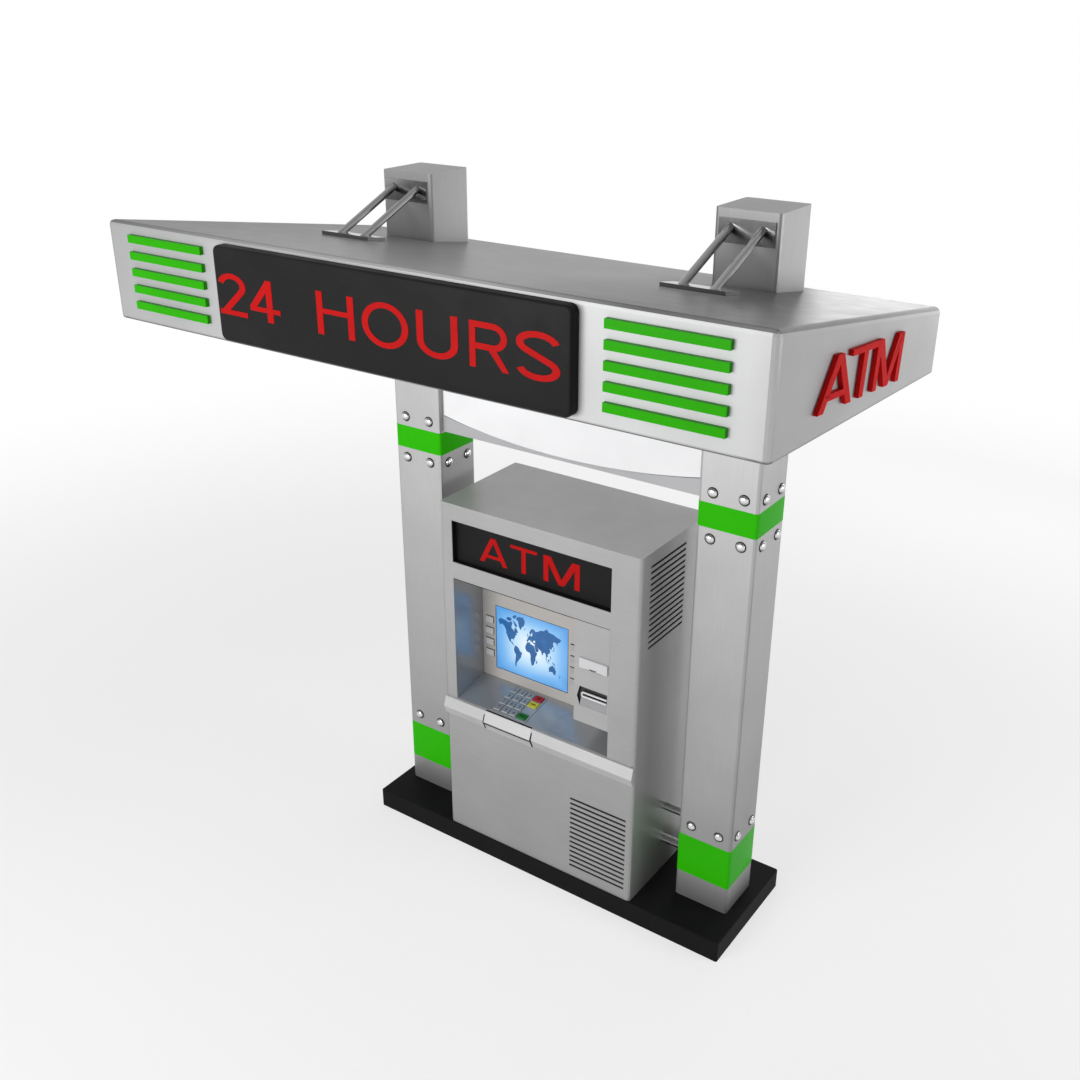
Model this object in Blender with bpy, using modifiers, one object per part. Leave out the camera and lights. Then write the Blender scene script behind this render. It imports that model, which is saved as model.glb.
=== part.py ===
"""Free-standing cash machine kiosk under a two-column canopy.

Frame: X to the right, Y to the back (the user stands at -Y), Z up.  The
origin is the centre of the base's footprint on the floor.  Metres.
"""
import math

import bmesh
import bpy
from mathutils import Matrix, Vector

# ---------------------------------------------------------------- clearances
GAP = 0.0003            # between fixed neighbours
RUN = 0.0005            # round a piece that slides or turns
DOOR_GAP = 0.0015       # round the two rear doors

# ---------------------------------------------------------------------- base
BASE_W, BASE_D, BASE_H = 1.600, 0.500, 0.082
BASE_SKIN = 0.008
BALLAST_H = 0.040

# ------------------------------------------------------------------- columns
COL_W, COL_D, COL_TOP = 0.214, 0.203, 2.618
COL_X, COL_Y = 0.644, 0.007                 # centre of the right column
COL_WALL, COL_ROUND = 0.005, 0.010
LINER_WALL = 0.004
LINER_REACH = 0.075                         # liner beyond its end bolt rows
BOLT_ROWS = (0.413, 1.567, 1.729)
BOLT_SPACING = 0.111                        # the two bolts of one row
BOLT_SHANK, BOLT_HEAD, BOLT_DOME = 0.005, 0.018, 0.011

# -------------------------------------------------------------------- canopy
CAN_FRONT, CAN_BACK = -0.947, 0.249         # Y of the fascia and of the rear
CAN_FRONT_HALF, CAN_BACK_HALF = 1.148, 1.128
CAN_FRONT_Z = (2.219, 2.535)                # soffit and roof at the fascia
CAN_BACK_Z = (2.135, 2.337)                 # soffit and roof at the rear
CAN_SHEET, CAN_ROUND = 0.003, 0.018
BEAM = 0.030                                # canopy frame section
BEAM_Z = (2.225, 2.285)
BEAM_HALF = 1.100                           # frame's half width
SIGN_HALF, SIGN_Z, SIGN_PROUD = 0.629, (2.236, 2.519), 0.033
SIGN_ROUND, SIGN_WALL = 0.022, 0.004
GRILLE_X = (0.707, 1.039)
GRILLE_BARS, GRILLE_PITCH = 5, 0.0518
GRILLE_TOP, GRILLE_BAR, GRILLE_PROUD = 2.4862, 0.024, 0.013

# ----------------------------------------------------------- canopy tie rods
ROD_R, ROD_SPACING = 0.012, 0.103
HEAD_Z, HEAD_PLATE = (2.520, 2.592), (0.181, 0.006)
ROD_HEAD_Z = 2.567
FOOT_Y, FOOT_PLATE = (-0.412, -0.330), (0.205, 0.012)
ROD_FOOT_Y = -0.380

# -------------------------------------------------------------------- banner
BANNER_Y, BANNER_T, BANNER_LOW = -0.0735, 0.006, 1.697
LENS_HALF, LENS_RADIUS, LENS_PROUD = 0.500, 2.80, 0.012
LENS_LOW, LENS_HEIGHT = 1.711, 0.432

# ------------------------------------------------------------------- cabinet
CAB_HALF, CAB_FRONT, CAB_BACK, CAB_TOP = 0.425, -0.2425, 0.221, 1.505
SHEET, CAB_ROUND, FASCIA_D = 0.003, 0.014, 0.040
ATM_X, ATM_Z, ATM_DEPTH = (-0.373, 0.311), (1.274, 1.4405), 0.026
OPEN_X, OPEN_TOP = (-0.3725, 0.3116), 1.2075
SHELF_Z = (0.688, 0.719)                    # shelf at its front and back edge
RECESS_D = 0.173
SLOT_ROWS, SLOT_PITCH, SLOT_H = 15, 0.0221, 0.009
FRONT_VENT_X, FRONT_VENT_Z = (0.156, 0.3985), 0.1320
SIDE_VENT_Y, SIDE_VENT_Z = (-0.180, 0.057), 1.1420
TIE_R, TIE_ROWS = 0.0165, (0.220, 0.372)
TIE_FLANGE = 0.006

# ---------------------------------------------------------- screen and keys
SCREEN_X, SCREEN_Z = (-0.3096, 0.0237), (0.7646, 1.0375)
SCREEN_T = 0.045
FDK_W, FDK_H, FDK_PITCH, FDK_TOP = 0.036, 0.026, 0.0487, 0.9675
FDK_OFFSET = 0.1975                         # from the screen's centre line
FDK_PROUD = 0.003
KEY, KEY_PITCH, WIDE_KEY = 0.029, 0.0366, 0.040
KEY_COL1, KEY_ROW1 = -0.195, 0.0294         # first column; front row, up slope
WIDE_COL = -0.083
KEY_RISE, KEY_LIP, KEY_TRAVEL = 0.006, 0.0015, 0.002
PAD_MARGIN, PAD_TOP, PAD_DEPTH = 0.008, 0.002, 0.014
KEY_NAMES = (("star", "0", "hash", "enter"),
             ("7", "8", "9", None),
             ("4", "5", "6", "clear"),
             ("1", "2", "3", "cancel"))

# ------------------------------------------------------------ service module
MOD_LEFT, MOD_LOW = 0.166, 0.795
RECEIPT_X, RECEIPT_Z, RECEIPT_PROUD = (0.1895, 0.3065), (1.0235, 1.0635), 0.007
RECEIPT_SLOT_W, RECEIPT_SLOT_H, RECEIPT_SLOT_D = 0.066, 0.0055, 0.060
THUMB_NOTCH = (0.018, 0.005, 0.003)         # width, height, depth
CARD_X, CARD_Z = (0.190, 0.3055), (0.865, 0.9435)
CARD_NOSE, CARD_BACKSET = 0.179, 0.012
CARD_LIP_Z, CARD_SLOT_Z, CARD_SLOT_D = (0.9000, 0.9250), (0.9095, 0.9155), 0.075
ROLL_R, ROLL_W, ROLL_YZ = 0.030, 0.058, (-0.160, 1.135)

# -------------------------------------------------------------- ledge, flap
RAIL_Z, RAIL_NOSE, RAIL_NOSE_Z = (0.608, 0.686), 0.019, 0.643
RAIL_BACK, RAIL_LIP = 0.0022, 0.006
FLAP_X, FLAP_EXTRA = (-0.230, -0.016), 0.0025
PIVOT_D, PIVOT_Z = 0.0045, 0.608
KNUCKLE_R, FLAP_PIN_R = 0.0025, 0.0012
CASH_X, CASH_Z = (-0.2225, -0.0235), (0.6225, 0.6575)

# ------------------------------------------------------------ safe and doors
SAFE_HALF, SAFE_FRONT, SAFE_TOP, SAFE_WALL = 0.380, -0.205, 0.600, 0.010
DOOR_HALF = 0.385
SAFE_DOOR_Z, SAFE_DOOR_T = (0.110, 0.575), 0.030
SERVICE_DOOR_Z, SERVICE_DOOR_T = (0.640, 1.465), 0.020
DOOR_SHEET = 0.002
HINGE_R, HINGE_PIN, HINGE_OUT = 0.0075, 0.004, 0.008
HINGE_SPREAD, HINGE_SEG = 0.30, 0.030       # share of door height; length
HANDLE_X, HUB_R, SPINDLE_R = -0.300, 0.020, 0.006
LEVER = (0.120, 0.018)
THROAT_X, THROAT_Y = (-0.200, -0.050), 0.050
CASSETTE_Y = 0.150
COMPUTER_X, COMPUTER_D, COMPUTER_TOP = (0.060, 0.360), 0.200, 0.120     # top above the safe's top
COMPUTER_BACKSET = 0.0165                   # behind the recess's back panel

base_top = BASE_H
col_front, col_back = COL_Y - COL_D / 2, COL_Y + COL_D / 2
recess_back = CAB_FRONT + RECESS_D
slope = math.atan2(SHELF_Z[1] - SHELF_Z[0], RECESS_D)
shelf = (Matrix.Translation((0, CAB_FRONT, SHELF_Z[0]))
         @ Matrix.Rotation(slope, 4, "X"))
screen_mid = sum(SCREEN_X) / 2
cab_floor = base_top + GAP + SHEET + GAP


# ------------------------------------------------------------------- helpers
def clear_scene():
    for item in list(bpy.data.objects):
        bpy.data.objects.remove(item, do_unlink=True)


clear_scene()
parts = bpy.data.collections.new("atm_kiosk")
cutters = bpy.data.collections.new("cutters")
for group in (parts, cutters):
    bpy.context.scene.collection.children.link(group)


def material(name, colour, roughness, metallic):
    mat = bpy.data.materials.new(name)
    mat.use_nodes = True
    shader = mat.node_tree.nodes["Principled BSDF"]
    shader.inputs["Base Color"].default_value = (*colour, 1.0)
    shader.inputs["Roughness"].default_value = roughness
    shader.inputs["Metallic"].default_value = metallic
    return mat


SATIN = ("satin_steel", (0.62, 0.62, 0.63), 0.32, 1.0)
CHROME = ("chrome", (0.80, 0.80, 0.81), 0.08, 1.0)
WHITE = ("white_panel", (0.85, 0.85, 0.86), 0.30, 0.0)
BLACK = ("black_paint", (0.012, 0.012, 0.013), 0.35, 0.0)
GREEN = ("green_paint", (0.05, 0.50, 0.01), 0.30, 0.0)
GREY = ("grey_plastic", (0.42, 0.40, 0.38), 0.45, 0.0)
DARK = ("dark_steel", (0.10, 0.10, 0.11), 0.45, 0.8)
GLASS = ("screen_glass", (0.25, 0.50, 0.85), 0.10, 0.0)
RED = ("red_key", (0.45, 0.01, 0.01), 0.35, 0.0)
YELLOW = ("yellow_key", (0.55, 0.50, 0.02), 0.35, 0.0)
GREEN_KEY = ("green_key", (0.01, 0.22, 0.02), 0.35, 0.0)


def finish(name, bm, group):
    """Make one object from a bmesh, in one of the two collections."""
    bmesh.ops.recalc_face_normals(bm, faces=bm.faces)
    mesh = bpy.data.meshes.new(name)
    bm.to_mesh(mesh)
    bm.free()
    item = bpy.data.objects.new(name, mesh)
    group.objects.link(item)
    return item


def piece(name, bm, look, origin=(0, 0, 0)):
    """A named sub-part with its own material and its origin on its joint."""
    bmesh.ops.translate(bm, verts=bm.verts, vec=-Vector(origin))
    item = finish(name, bm, parts)
    item.location = origin
    item.data.materials.append(material(f"{name}_{look[0]}", *look[1:]))
    item.data.shade_smooth()
    item.data.set_sharp_from_angle(angle=math.radians(30))
    return item


def combine(item, bm, operation):
    tool = finish(f"{item.name}_tool_{len(item.modifiers) + 1}", bm, cutters)
    tool.hide_render = True
    tool.display_type = "WIRE"
    boolean = item.modifiers.new(operation.lower(), "BOOLEAN")
    boolean.operation = operation
    boolean.solver = "EXACT"
    boolean.object = tool


def cut(item, bm):
    combine(item, bm, "DIFFERENCE")


def join(item, bm):
    combine(item, bm, "UNION")


def boxes(*spans):
    """Boxes that don't touch, each given by its low and high corner."""
    bm = bmesh.new()
    for low, high in spans:
        low, high = Vector(low), Vector(high)
        place = Matrix.Translation((low + high) / 2)
        bmesh.ops.create_cube(bm, size=1.0, matrix=place @ Matrix.Diagonal((*(high - low), 1)))
    return bm


def add_bar(bm, start, end, radius, segments=16):
    """A round bar between two points, added to a bmesh."""
    start, end = Vector(start), Vector(end)
    turn = (end - start).to_track_quat("Z", "Y").to_matrix().to_4x4()
    return bmesh.ops.create_cone(
        bm, cap_ends=True, segments=segments, radius1=radius, radius2=radius,
        depth=(end - start).length, matrix=Matrix.Translation((start + end) / 2) @ turn)["verts"]


def bars(radius, *spans, segments=16):
    bm = bmesh.new()
    for start, end in spans:
        add_bar(bm, start, end, radius, segments)
    return bm


def round_edges(bm, radius, chosen, segments=3):
    """Round the edges that chosen(direction, middle) picks."""
    edges = [e for e in bm.edges
             if chosen((e.verts[1].co - e.verts[0].co).normalized(), (e.verts[0].co + e.verts[1].co) / 2)]
    bmesh.ops.bevel(bm, geom=edges, offset=radius, segments=segments, profile=0.5, affect="EDGES")
    return bm


def outline_solid(points, low, high, axis):
    """A flat outline, thickened along X (points are Y, Z) or Y (points are X, Z)."""
    curve = bpy.data.curves.new("outline", "CURVE")
    curve.dimensions = "2D"
    curve.fill_mode = "BOTH"
    curve.extrude = (high - low) / 2
    spline = curve.splines.new("POLY")
    spline.points.add(len(points) - 1)
    for point, (a, b) in zip(spline.points, points):
        point.co = (a, b, 0, 1)
    spline.use_cyclic_u = True
    holder = bpy.data.objects.new("outline", curve)
    bpy.context.scene.collection.objects.link(holder)
    flat = bpy.data.meshes.new_from_object(holder.evaluated_get(bpy.context.evaluated_depsgraph_get()))
    bm = bmesh.new()
    bm.from_mesh(flat)
    bmesh.ops.remove_doubles(bm, verts=bm.verts, dist=0.00001)
    bpy.data.objects.remove(holder, do_unlink=True)
    bpy.data.meshes.remove(flat)
    middle = (low + high) / 2
    for v in bm.verts:
        a, b, c = v.co
        v.co = (c + middle, a, b) if axis == "X" else (a, c + middle, b)
    return bm


def sides():
    return (("left", -1), ("right", 1))


def mirrored(side, low, high):
    """An X span on the right side, or its mirror image on the left."""
    return (low, high) if side > 0 else (-high, -low)


# ---------------------------------------------------------------------- base
plinth = piece("base_plinth", round_edges(
    boxes(((-BASE_W / 2, -BASE_D / 2, 0), (BASE_W / 2, BASE_D / 2, BASE_H))),
    0.004, lambda d, m: abs(d.z) > 0.9 or m.z > BASE_H * 0.9, 1), BLACK)
inner_w, inner_d = BASE_W / 2 - BASE_SKIN, BASE_D / 2 - BASE_SKIN
cut(plinth, boxes(((-inner_w, -inner_d, -BASE_H), (inner_w, inner_d, BASE_H - BASE_SKIN))))
piece("base_ballast", boxes(((-inner_w + GAP, -inner_d + GAP, 0), (inner_w - GAP, inner_d - GAP, BALLAST_H))),
      DARK)


# ------------------------------------------------------------------- columns
def tube_block(x, width, depth, low, high, radius):
    """An upright bar of rounded-rectangle section, centred on a column."""
    bm = boxes(((x - width / 2, COL_Y - depth / 2, low), (x + width / 2, COL_Y + depth / 2, high)))
    return round_edges(bm, radius, lambda d, m: abs(d.z) > 0.9, 2)


def bolt_places(x):
    """Foot and outward direction of each bolt of a column, on its outer faces."""
    for z in BOLT_ROWS:
        for step in (-BOLT_SPACING / 2, BOLT_SPACING / 2):
            for way in (-1, 1):
                yield Vector((x + step, COL_Y + way * COL_D / 2, z)), Vector((0, way, 0))
                yield Vector((x + way * COL_W / 2, COL_Y + step, z)), Vector((way, 0, 0))


def dome_bolt():
    """Shank and domed head of one bolt, turned from its profile about Z."""
    root = -(COL_WALL + GAP + LINER_WALL / 2)
    shoulder, crown = GAP + 0.002, GAP + BOLT_DOME
    bend = (BOLT_HEAD * 0.75, shoulder + (BOLT_DOME - 0.002) * 0.65)
    profile = [(0, crown), bend, (BOLT_HEAD, shoulder), (BOLT_HEAD, GAP), (BOLT_SHANK, GAP),
               (BOLT_SHANK, root), (0, root)]
    wire = bpy.data.meshes.new("bolt")
    wire.from_pydata([(r, 0, h) for r, h in profile], [(i, i + 1) for i in range(len(profile) - 1)], [])
    holder = bpy.data.objects.new("bolt", wire)
    bpy.context.scene.collection.objects.link(holder)
    screw = holder.modifiers.new("turn", "SCREW")
    screw.steps = screw.render_steps = 8
    screw.use_merge_vertices = True
    screw.merge_threshold = 0.0001
    turned = bpy.data.meshes.new_from_object(holder.evaluated_get(bpy.context.evaluated_depsgraph_get()))
    bpy.data.objects.remove(holder, do_unlink=True)
    return turned


bolt = dome_bolt()


def dome_bolts(x):
    bm = bmesh.new()
    for foot, way in bolt_places(x):
        bolt_in_place = bolt.copy()
        bolt_in_place.transform(Matrix.Translation(foot) @ way.to_track_quat("Z", "Y").to_matrix().to_4x4())
        bm.from_mesh(bolt_in_place)
        bpy.data.meshes.remove(bolt_in_place)
    return bm


for label, side in sides():
    x = side * COL_X
    column = piece(f"column_{label}", tube_block(x, COL_W, COL_D, base_top + GAP, COL_TOP, COL_ROUND), SATIN)
    hollow_w, hollow_d = COL_W - 2 * COL_WALL, COL_D - 2 * COL_WALL
    cut(column, tube_block(x, hollow_w, hollow_d, 0, COL_TOP - COL_WALL, COL_ROUND - COL_WALL))
    holes = bmesh.new()
    for foot, way in bolt_places(x):
        add_bar(holes, foot + way * 0.01, foot - way * (COL_WALL + 0.002), BOLT_SHANK + RUN, 8)
    cut(column, holes)

    low, high = BOLT_ROWS[0] - LINER_REACH, BOLT_ROWS[-1] + LINER_REACH
    liner = piece(f"column_liner_{label}",
                  tube_block(x, hollow_w - 2 * GAP, hollow_d - 2 * GAP, low, high, COL_ROUND - COL_WALL),
                  CHROME)
    cut(liner, tube_block(x, hollow_w - 2 * (GAP + LINER_WALL), hollow_d - 2 * (GAP + LINER_WALL),
                          low - 0.01, high + 0.01, 0.002))
    join(liner, dome_bolts(x))


# -------------------------------------------------------------------- canopy
def along(front, back, y):
    """A canopy size at depth y, between its front and back values."""
    return front + (back - front) * (y - CAN_FRONT) / (CAN_BACK - CAN_FRONT)


def soffit(y):
    return along(CAN_FRONT_Z[0], CAN_BACK_Z[0], y)


def roof(y):
    return along(CAN_FRONT_Z[1], CAN_BACK_Z[1], y)


def canopy_block(inset, bottom, top):
    """The canopy's wedge, inset all round; bottom and top give Z for a depth y."""
    bm = boxes(((-1, -1, -1), (1, 1, 1)))
    for v in bm.verts:
        y = CAN_FRONT + inset if v.co.y < 0 else CAN_BACK - inset
        half = along(CAN_FRONT_HALF, CAN_BACK_HALF, y) - inset
        v.co = (math.copysign(half, v.co.x), y, bottom(y) if v.co.z < 0 else top(y))
    return bm


def column_holes(low, high):
    hole_w, hole_d = COL_W / 2 + RUN, COL_D / 2 + RUN
    return boxes(*(((s * COL_X - hole_w, COL_Y - hole_d, low), (s * COL_X + hole_w, COL_Y + hole_d, high))
                   for _, s in sides()))


def off_the_bottom(limit):
    return lambda d, m: abs(d.z) > 0.9 or m.z > limit


shell = piece("canopy_shell", round_edges(canopy_block(0, soffit, roof), CAN_ROUND, off_the_bottom(2.3)),
              WHITE)
cut(shell, round_edges(canopy_block(CAN_SHEET, lambda y: 2.0, lambda y: roof(y) - CAN_SHEET),
                       CAN_ROUND - CAN_SHEET, off_the_bottom(2.3)))
cut(shell, column_holes(CAN_BACK_Z[0], COL_TOP))

soffit_panel = piece("canopy_soffit", round_edges(
    canopy_block(CAN_SHEET + GAP, soffit, lambda y: soffit(y) + CAN_SHEET),
    CAN_ROUND - CAN_SHEET, lambda d, m: abs(d.z) > 0.9), WHITE)
cut(soffit_panel, column_holes(2.0, 2.3))

beam_low, beam_high = BEAM_Z
beam_x = [s * edge for s in (-1, 1) for edge in (
    COL_X - COL_W / 2 - GAP - BEAM / 2, COL_X + COL_W / 2 + GAP + BEAM / 2, BEAM_HALF - BEAM / 2)]
beam_y = (CAN_FRONT + 0.045, col_front - GAP - BEAM, col_back + GAP)
frame = piece("canopy_frame", boxes(*(((x - BEAM / 2, beam_y[0], beam_low),
                                       (x + BEAM / 2, beam_y[2] + BEAM, beam_high)) for x in beam_x)), DARK)
join(frame, boxes(*(((-BEAM_HALF, y, beam_low + 0.005), (BEAM_HALF, y + BEAM, beam_high - 0.005))
                    for y in beam_y)))

sign = piece("led_sign", round_edges(
    boxes(((-SIGN_HALF, CAN_FRONT - SIGN_PROUD, SIGN_Z[0]), (SIGN_HALF, CAN_FRONT - GAP, SIGN_Z[1]))),
    SIGN_ROUND, lambda d, m: abs(d.y) > 0.9), BLACK)
cut(sign, boxes(((-SIGN_HALF + SIGN_ROUND, CAN_FRONT - SIGN_PROUD + SIGN_WALL, SIGN_Z[0] + SIGN_WALL),
                 (SIGN_HALF - SIGN_ROUND, CAN_FRONT + 0.01, SIGN_Z[1] - SIGN_WALL))))

bar_z = [GRILLE_TOP - i * GRILLE_PITCH for i in range(GRILLE_BARS)]
grille_back = CAN_FRONT + CAN_SHEET + GAP
for label, side in sides():
    x0, x1 = mirrored(side, *GRILLE_X)
    grille = piece(f"grille_{label}", boxes(*(
        ((x0, CAN_FRONT - GRILLE_PROUD, z - GRILLE_BAR / 2), (x1, grille_back + 0.002, z + GRILLE_BAR / 2))
        for z in bar_z)), GREEN)
    join(grille, boxes(((x0 - 0.012, grille_back, bar_z[-1] - 0.021), (x1 + 0.012, grille_back + 0.003,
                                                                     bar_z[0] + 0.021))))
    cut(shell, boxes(*(
        ((x0 - GAP, CAN_FRONT - 0.01, z - GRILLE_BAR / 2 - GAP),
         (x1 + GAP, CAN_FRONT + 0.01, z + GRILLE_BAR / 2 + GAP)) for z in bar_z)))


# ----------------------------------------------------------- canopy tie rods
def tie_rods(x):
    """Two slanted rods whose ends lie inside the head and foot plates."""
    bm = bmesh.new()
    head = Vector((0, col_front - GAP - HEAD_PLATE[1] / 2, ROD_HEAD_Z))
    foot = Vector((0, ROD_FOOT_Y, roof(ROD_FOOT_Y) + GAP + FOOT_PLATE[1] / 2))
    run = (foot - head).normalized()
    fall = (CAN_BACK_Z[1] - CAN_FRONT_Z[1]) / (CAN_BACK - CAN_FRONT)
    planes = ((head, Vector((0, 1, 0))), (foot, Vector((0, -fall, 1))))
    for step in (-ROD_SPACING / 2, ROD_SPACING / 2):
        shift = Vector((x + step, 0, 0))
        for v in add_bar(bm, head + shift, foot + shift, ROD_R, 14):
            point, normal = min(planes, key=lambda plane: (v.co - plane[0] - shift).length)
            v.co += run * (normal.dot(point + shift - v.co) / normal.dot(run))
    return bm


for label, side in sides():
    x = side * COL_X
    foot_plate = boxes(((x - FOOT_PLATE[0] / 2, FOOT_Y[0], 0),
                        (x + FOOT_PLATE[0] / 2, FOOT_Y[1], FOOT_PLATE[1])))
    for v in foot_plate.verts:
        v.co.z += roof(v.co.y) + GAP
    rods = piece(f"rod_frame_{label}", foot_plate, CHROME)
    join(rods, tie_rods(x))
    join(rods, boxes(((x - HEAD_PLATE[0] / 2, col_front - GAP - HEAD_PLATE[1], HEAD_Z[0]),
                      (x + HEAD_PLATE[0] / 2, col_front - GAP, HEAD_Z[1]))))

# -------------------------------------------------------------------- banner
banner_half = COL_X - COL_W / 2 - GAP
banner_back = BANNER_Y + BANNER_T
banner = piece("banner_panel", boxes(((-banner_half, BANNER_Y, BANNER_LOW),
                                      (banner_half, banner_back, soffit(banner_back) - GAP))), WHITE)
lens = []
for step in range(-8, 9):
    x = LENS_HALF * step / 8
    lens.append((x, LENS_LOW + x * x / (2 * LENS_RADIUS)))
lens += [(x, 2 * LENS_LOW + LENS_HEIGHT - z) for x, z in reversed(lens)]
join(banner, outline_solid(lens, BANNER_Y - LENS_PROUD, BANNER_Y + BANNER_T / 2, "Y"))

# -------------------------------------------------------------- cabinet ties
flange_out = CAB_HALF - SHEET - GAP
for label, side in sides():
    x0, x1 = mirrored(side, flange_out - TIE_FLANGE, flange_out)
    tie = piece(f"cabinet_tie_{label}", boxes(((x0, COL_Y - 0.045, TIE_ROWS[0] - 0.030),
                                               (x1, COL_Y + 0.045, TIE_ROWS[1] + 0.030))), SATIN)
    join(tie, bars(TIE_R, *(((side * (flange_out - TIE_FLANGE / 2), COL_Y, z), (side * banner_half, COL_Y, z))
                            for z in TIE_ROWS)))


# ------------------------------------------------------------------- cabinet
def slots(low, high, first_z, where):
    """The vent's rows; where(a, b, z0, z1) gives a row's box corners."""
    return boxes(*(where(low, high, z - SLOT_H / 2, z + SLOT_H / 2)
                   for z in (first_z + SLOT_PITCH * i for i in range(SLOT_ROWS))))


fascia_back = CAB_FRONT + FASCIA_D
cab_low = base_top + GAP
fascia = piece("front_fascia", round_edges(
    boxes(((-CAB_HALF, CAB_FRONT, cab_low), (CAB_HALF, fascia_back, CAB_TOP))),
    CAB_ROUND, lambda d, m: abs(d.z) > 0.9 and m.y < fascia_back - 0.001), SATIN)
cut(fascia, round_edges(
    boxes(((-CAB_HALF + SHEET, CAB_FRONT + SHEET, cab_low + SHEET), (CAB_HALF - SHEET, fascia_back + 0.01,
                                                                   CAB_TOP - SHEET))),
    CAB_ROUND - SHEET, lambda d, m: abs(d.z) > 0.9 and m.y < fascia_back - 0.001))
front_span = (CAB_FRONT - 0.01, CAB_FRONT + SHEET + 0.002)
cut(fascia, boxes(*(((x[0], front_span[0], z[0]), (x[1], front_span[1], z[1])) for x, z in (
    (ATM_X, ATM_Z), (OPEN_X, (SHELF_Z[0], OPEN_TOP)), (CASH_X, CASH_Z)))))
cut(fascia, slots(*FRONT_VENT_X, FRONT_VENT_Z,
                  lambda a, b, c, d: ((a, front_span[0], c), (b, front_span[1], d))))

cabinet = piece("cabinet_body", round_edges(
    boxes(((-CAB_HALF, fascia_back + GAP, cab_low), (CAB_HALF, CAB_BACK, CAB_TOP))),
    0.008, lambda d, m: abs(d.z) > 0.9 and m.y > CAB_BACK - 0.001), SATIN)
cut(cabinet, round_edges(
    boxes(((-CAB_HALF + SHEET, fascia_back - 0.01, cab_low + SHEET), (CAB_HALF - SHEET, CAB_BACK - SHEET,
                                                                     CAB_TOP - SHEET))),
    0.008 - SHEET, lambda d, m: abs(d.z) > 0.9 and m.y > CAB_BACK - SHEET - 0.001))
cut(cabinet, boxes(*(((-DOOR_HALF, CAB_BACK - SHEET - 0.002, z[0]), (DOOR_HALF, CAB_BACK + 0.01, z[1]))
                     for z in (SAFE_DOOR_Z, SERVICE_DOOR_Z))))
for _, side in sides():
    x0, x1 = mirrored(side, CAB_HALF - SHEET - 0.002, CAB_HALF + 0.01)
    cut(cabinet, slots(*SIDE_VENT_Y, SIDE_VENT_Z, lambda a, b, c, d: ((x0, a, c), (x1, b, d))))
    cut(cabinet, bars(TIE_R + GAP, *(((x0, COL_Y, z), (x1, COL_Y, z)) for z in TIE_ROWS)))

pivot_x, pivot_y = DOOR_HALF, CAB_BACK + HINGE_OUT


def hinge_heights(door_z):
    """Z of the middle of each of a door's two hinges."""
    middle, spread = sum(door_z) / 2, (door_z[1] - door_z[0]) * HINGE_SPREAD
    return (middle - spread, middle + spread)


def hinge_tabs(door_z):
    """Cabinet knuckles above and below each door knuckle."""
    low = []
    for z in hinge_heights(door_z):
        low += [z - 1.5 * HINGE_SEG, z + 0.5 * HINGE_SEG]
    return [(z + RUN, z + HINGE_SEG - RUN) for z in low]


tab_z = [span for door_z in (SAFE_DOOR_Z, SERVICE_DOOR_Z) for span in hinge_tabs(door_z)]
join(cabinet, boxes(*(((pivot_x + 0.0045, CAB_BACK - SHEET / 2, z0), (pivot_x + 0.022, CAB_BACK + 0.005, z1))
                      for z0, z1 in tab_z)))
join(cabinet, bars(HINGE_R, *(((pivot_x, pivot_y, z0), (pivot_x, pivot_y, z1)) for z0, z1 in tab_z)))
cut(cabinet, bars(HINGE_PIN + RUN, *(((pivot_x, pivot_y, z0 - 0.002), (pivot_x, pivot_y, z1 + 0.002))
                                     for z0, z1 in tab_z)))


# ---------------------------------------------------------- rear doors
def rear_door(name, door_z, thickness, look, tray):
    """A flush rear door with two knuckles and pins on its right edge."""
    low, high = door_z[0] + DOOR_GAP, door_z[1] - DOOR_GAP
    half = DOOR_HALF - DOOR_GAP
    door = piece(name, boxes(((-half, CAB_BACK - thickness, low), (half, CAB_BACK, high))), look,
                 origin=(pivot_x, pivot_y, 0))
    if tray:
        cut(door, boxes(((-half + DOOR_SHEET, CAB_BACK - thickness - 0.01, low + DOOR_SHEET),
                         (half - DOOR_SHEET, CAB_BACK - DOOR_SHEET, high - DOOR_SHEET))))
    spans = [(z - 0.5 * HINGE_SEG, z + 0.5 * HINGE_SEG) for z in hinge_heights(door_z)]
    join(door, boxes(*(((pivot_x - 0.022, CAB_BACK - DOOR_SHEET / 2, z0),
                        (pivot_x - 0.003, CAB_BACK + 0.005, z1)) for z0, z1 in spans)))
    join(door, bars(HINGE_R, *(((pivot_x, pivot_y, z0), (pivot_x, pivot_y, z1)) for z0, z1 in spans)))
    reach = 0.9 * HINGE_SEG
    join(door, bars(HINGE_PIN, *(((pivot_x, pivot_y, z0 - reach), (pivot_x, pivot_y, z1 + reach))
                                 for z0, z1 in spans)))
    return door


def door_handle(name, door, z, reach):
    """A lever on a hub, its spindle let into the door."""
    cut(door, bars(SPINDLE_R + RUN, ((HANDLE_X, CAB_BACK - reach - 0.002, z),
                                     (HANDLE_X, CAB_BACK + 0.01, z))))
    face = CAB_BACK + RUN
    handle = piece(name, bars(HUB_R, ((HANDLE_X, face, z), (HANDLE_X, face + 0.014, z)), segments=20), CHROME,
                   origin=(HANDLE_X, face, z))
    join(handle, bars(SPINDLE_R, ((HANDLE_X, CAB_BACK - reach, z), (HANDLE_X, face + 0.007, z))))
    join(handle, round_edges(
        boxes(((HANDLE_X - LEVER[1] / 2, face + 0.010, z - LEVER[0]),
               (HANDLE_X + LEVER[1] / 2, face + 0.022, z))),
        0.004, lambda d, m: m.z < z - 0.01, 2))


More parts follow.
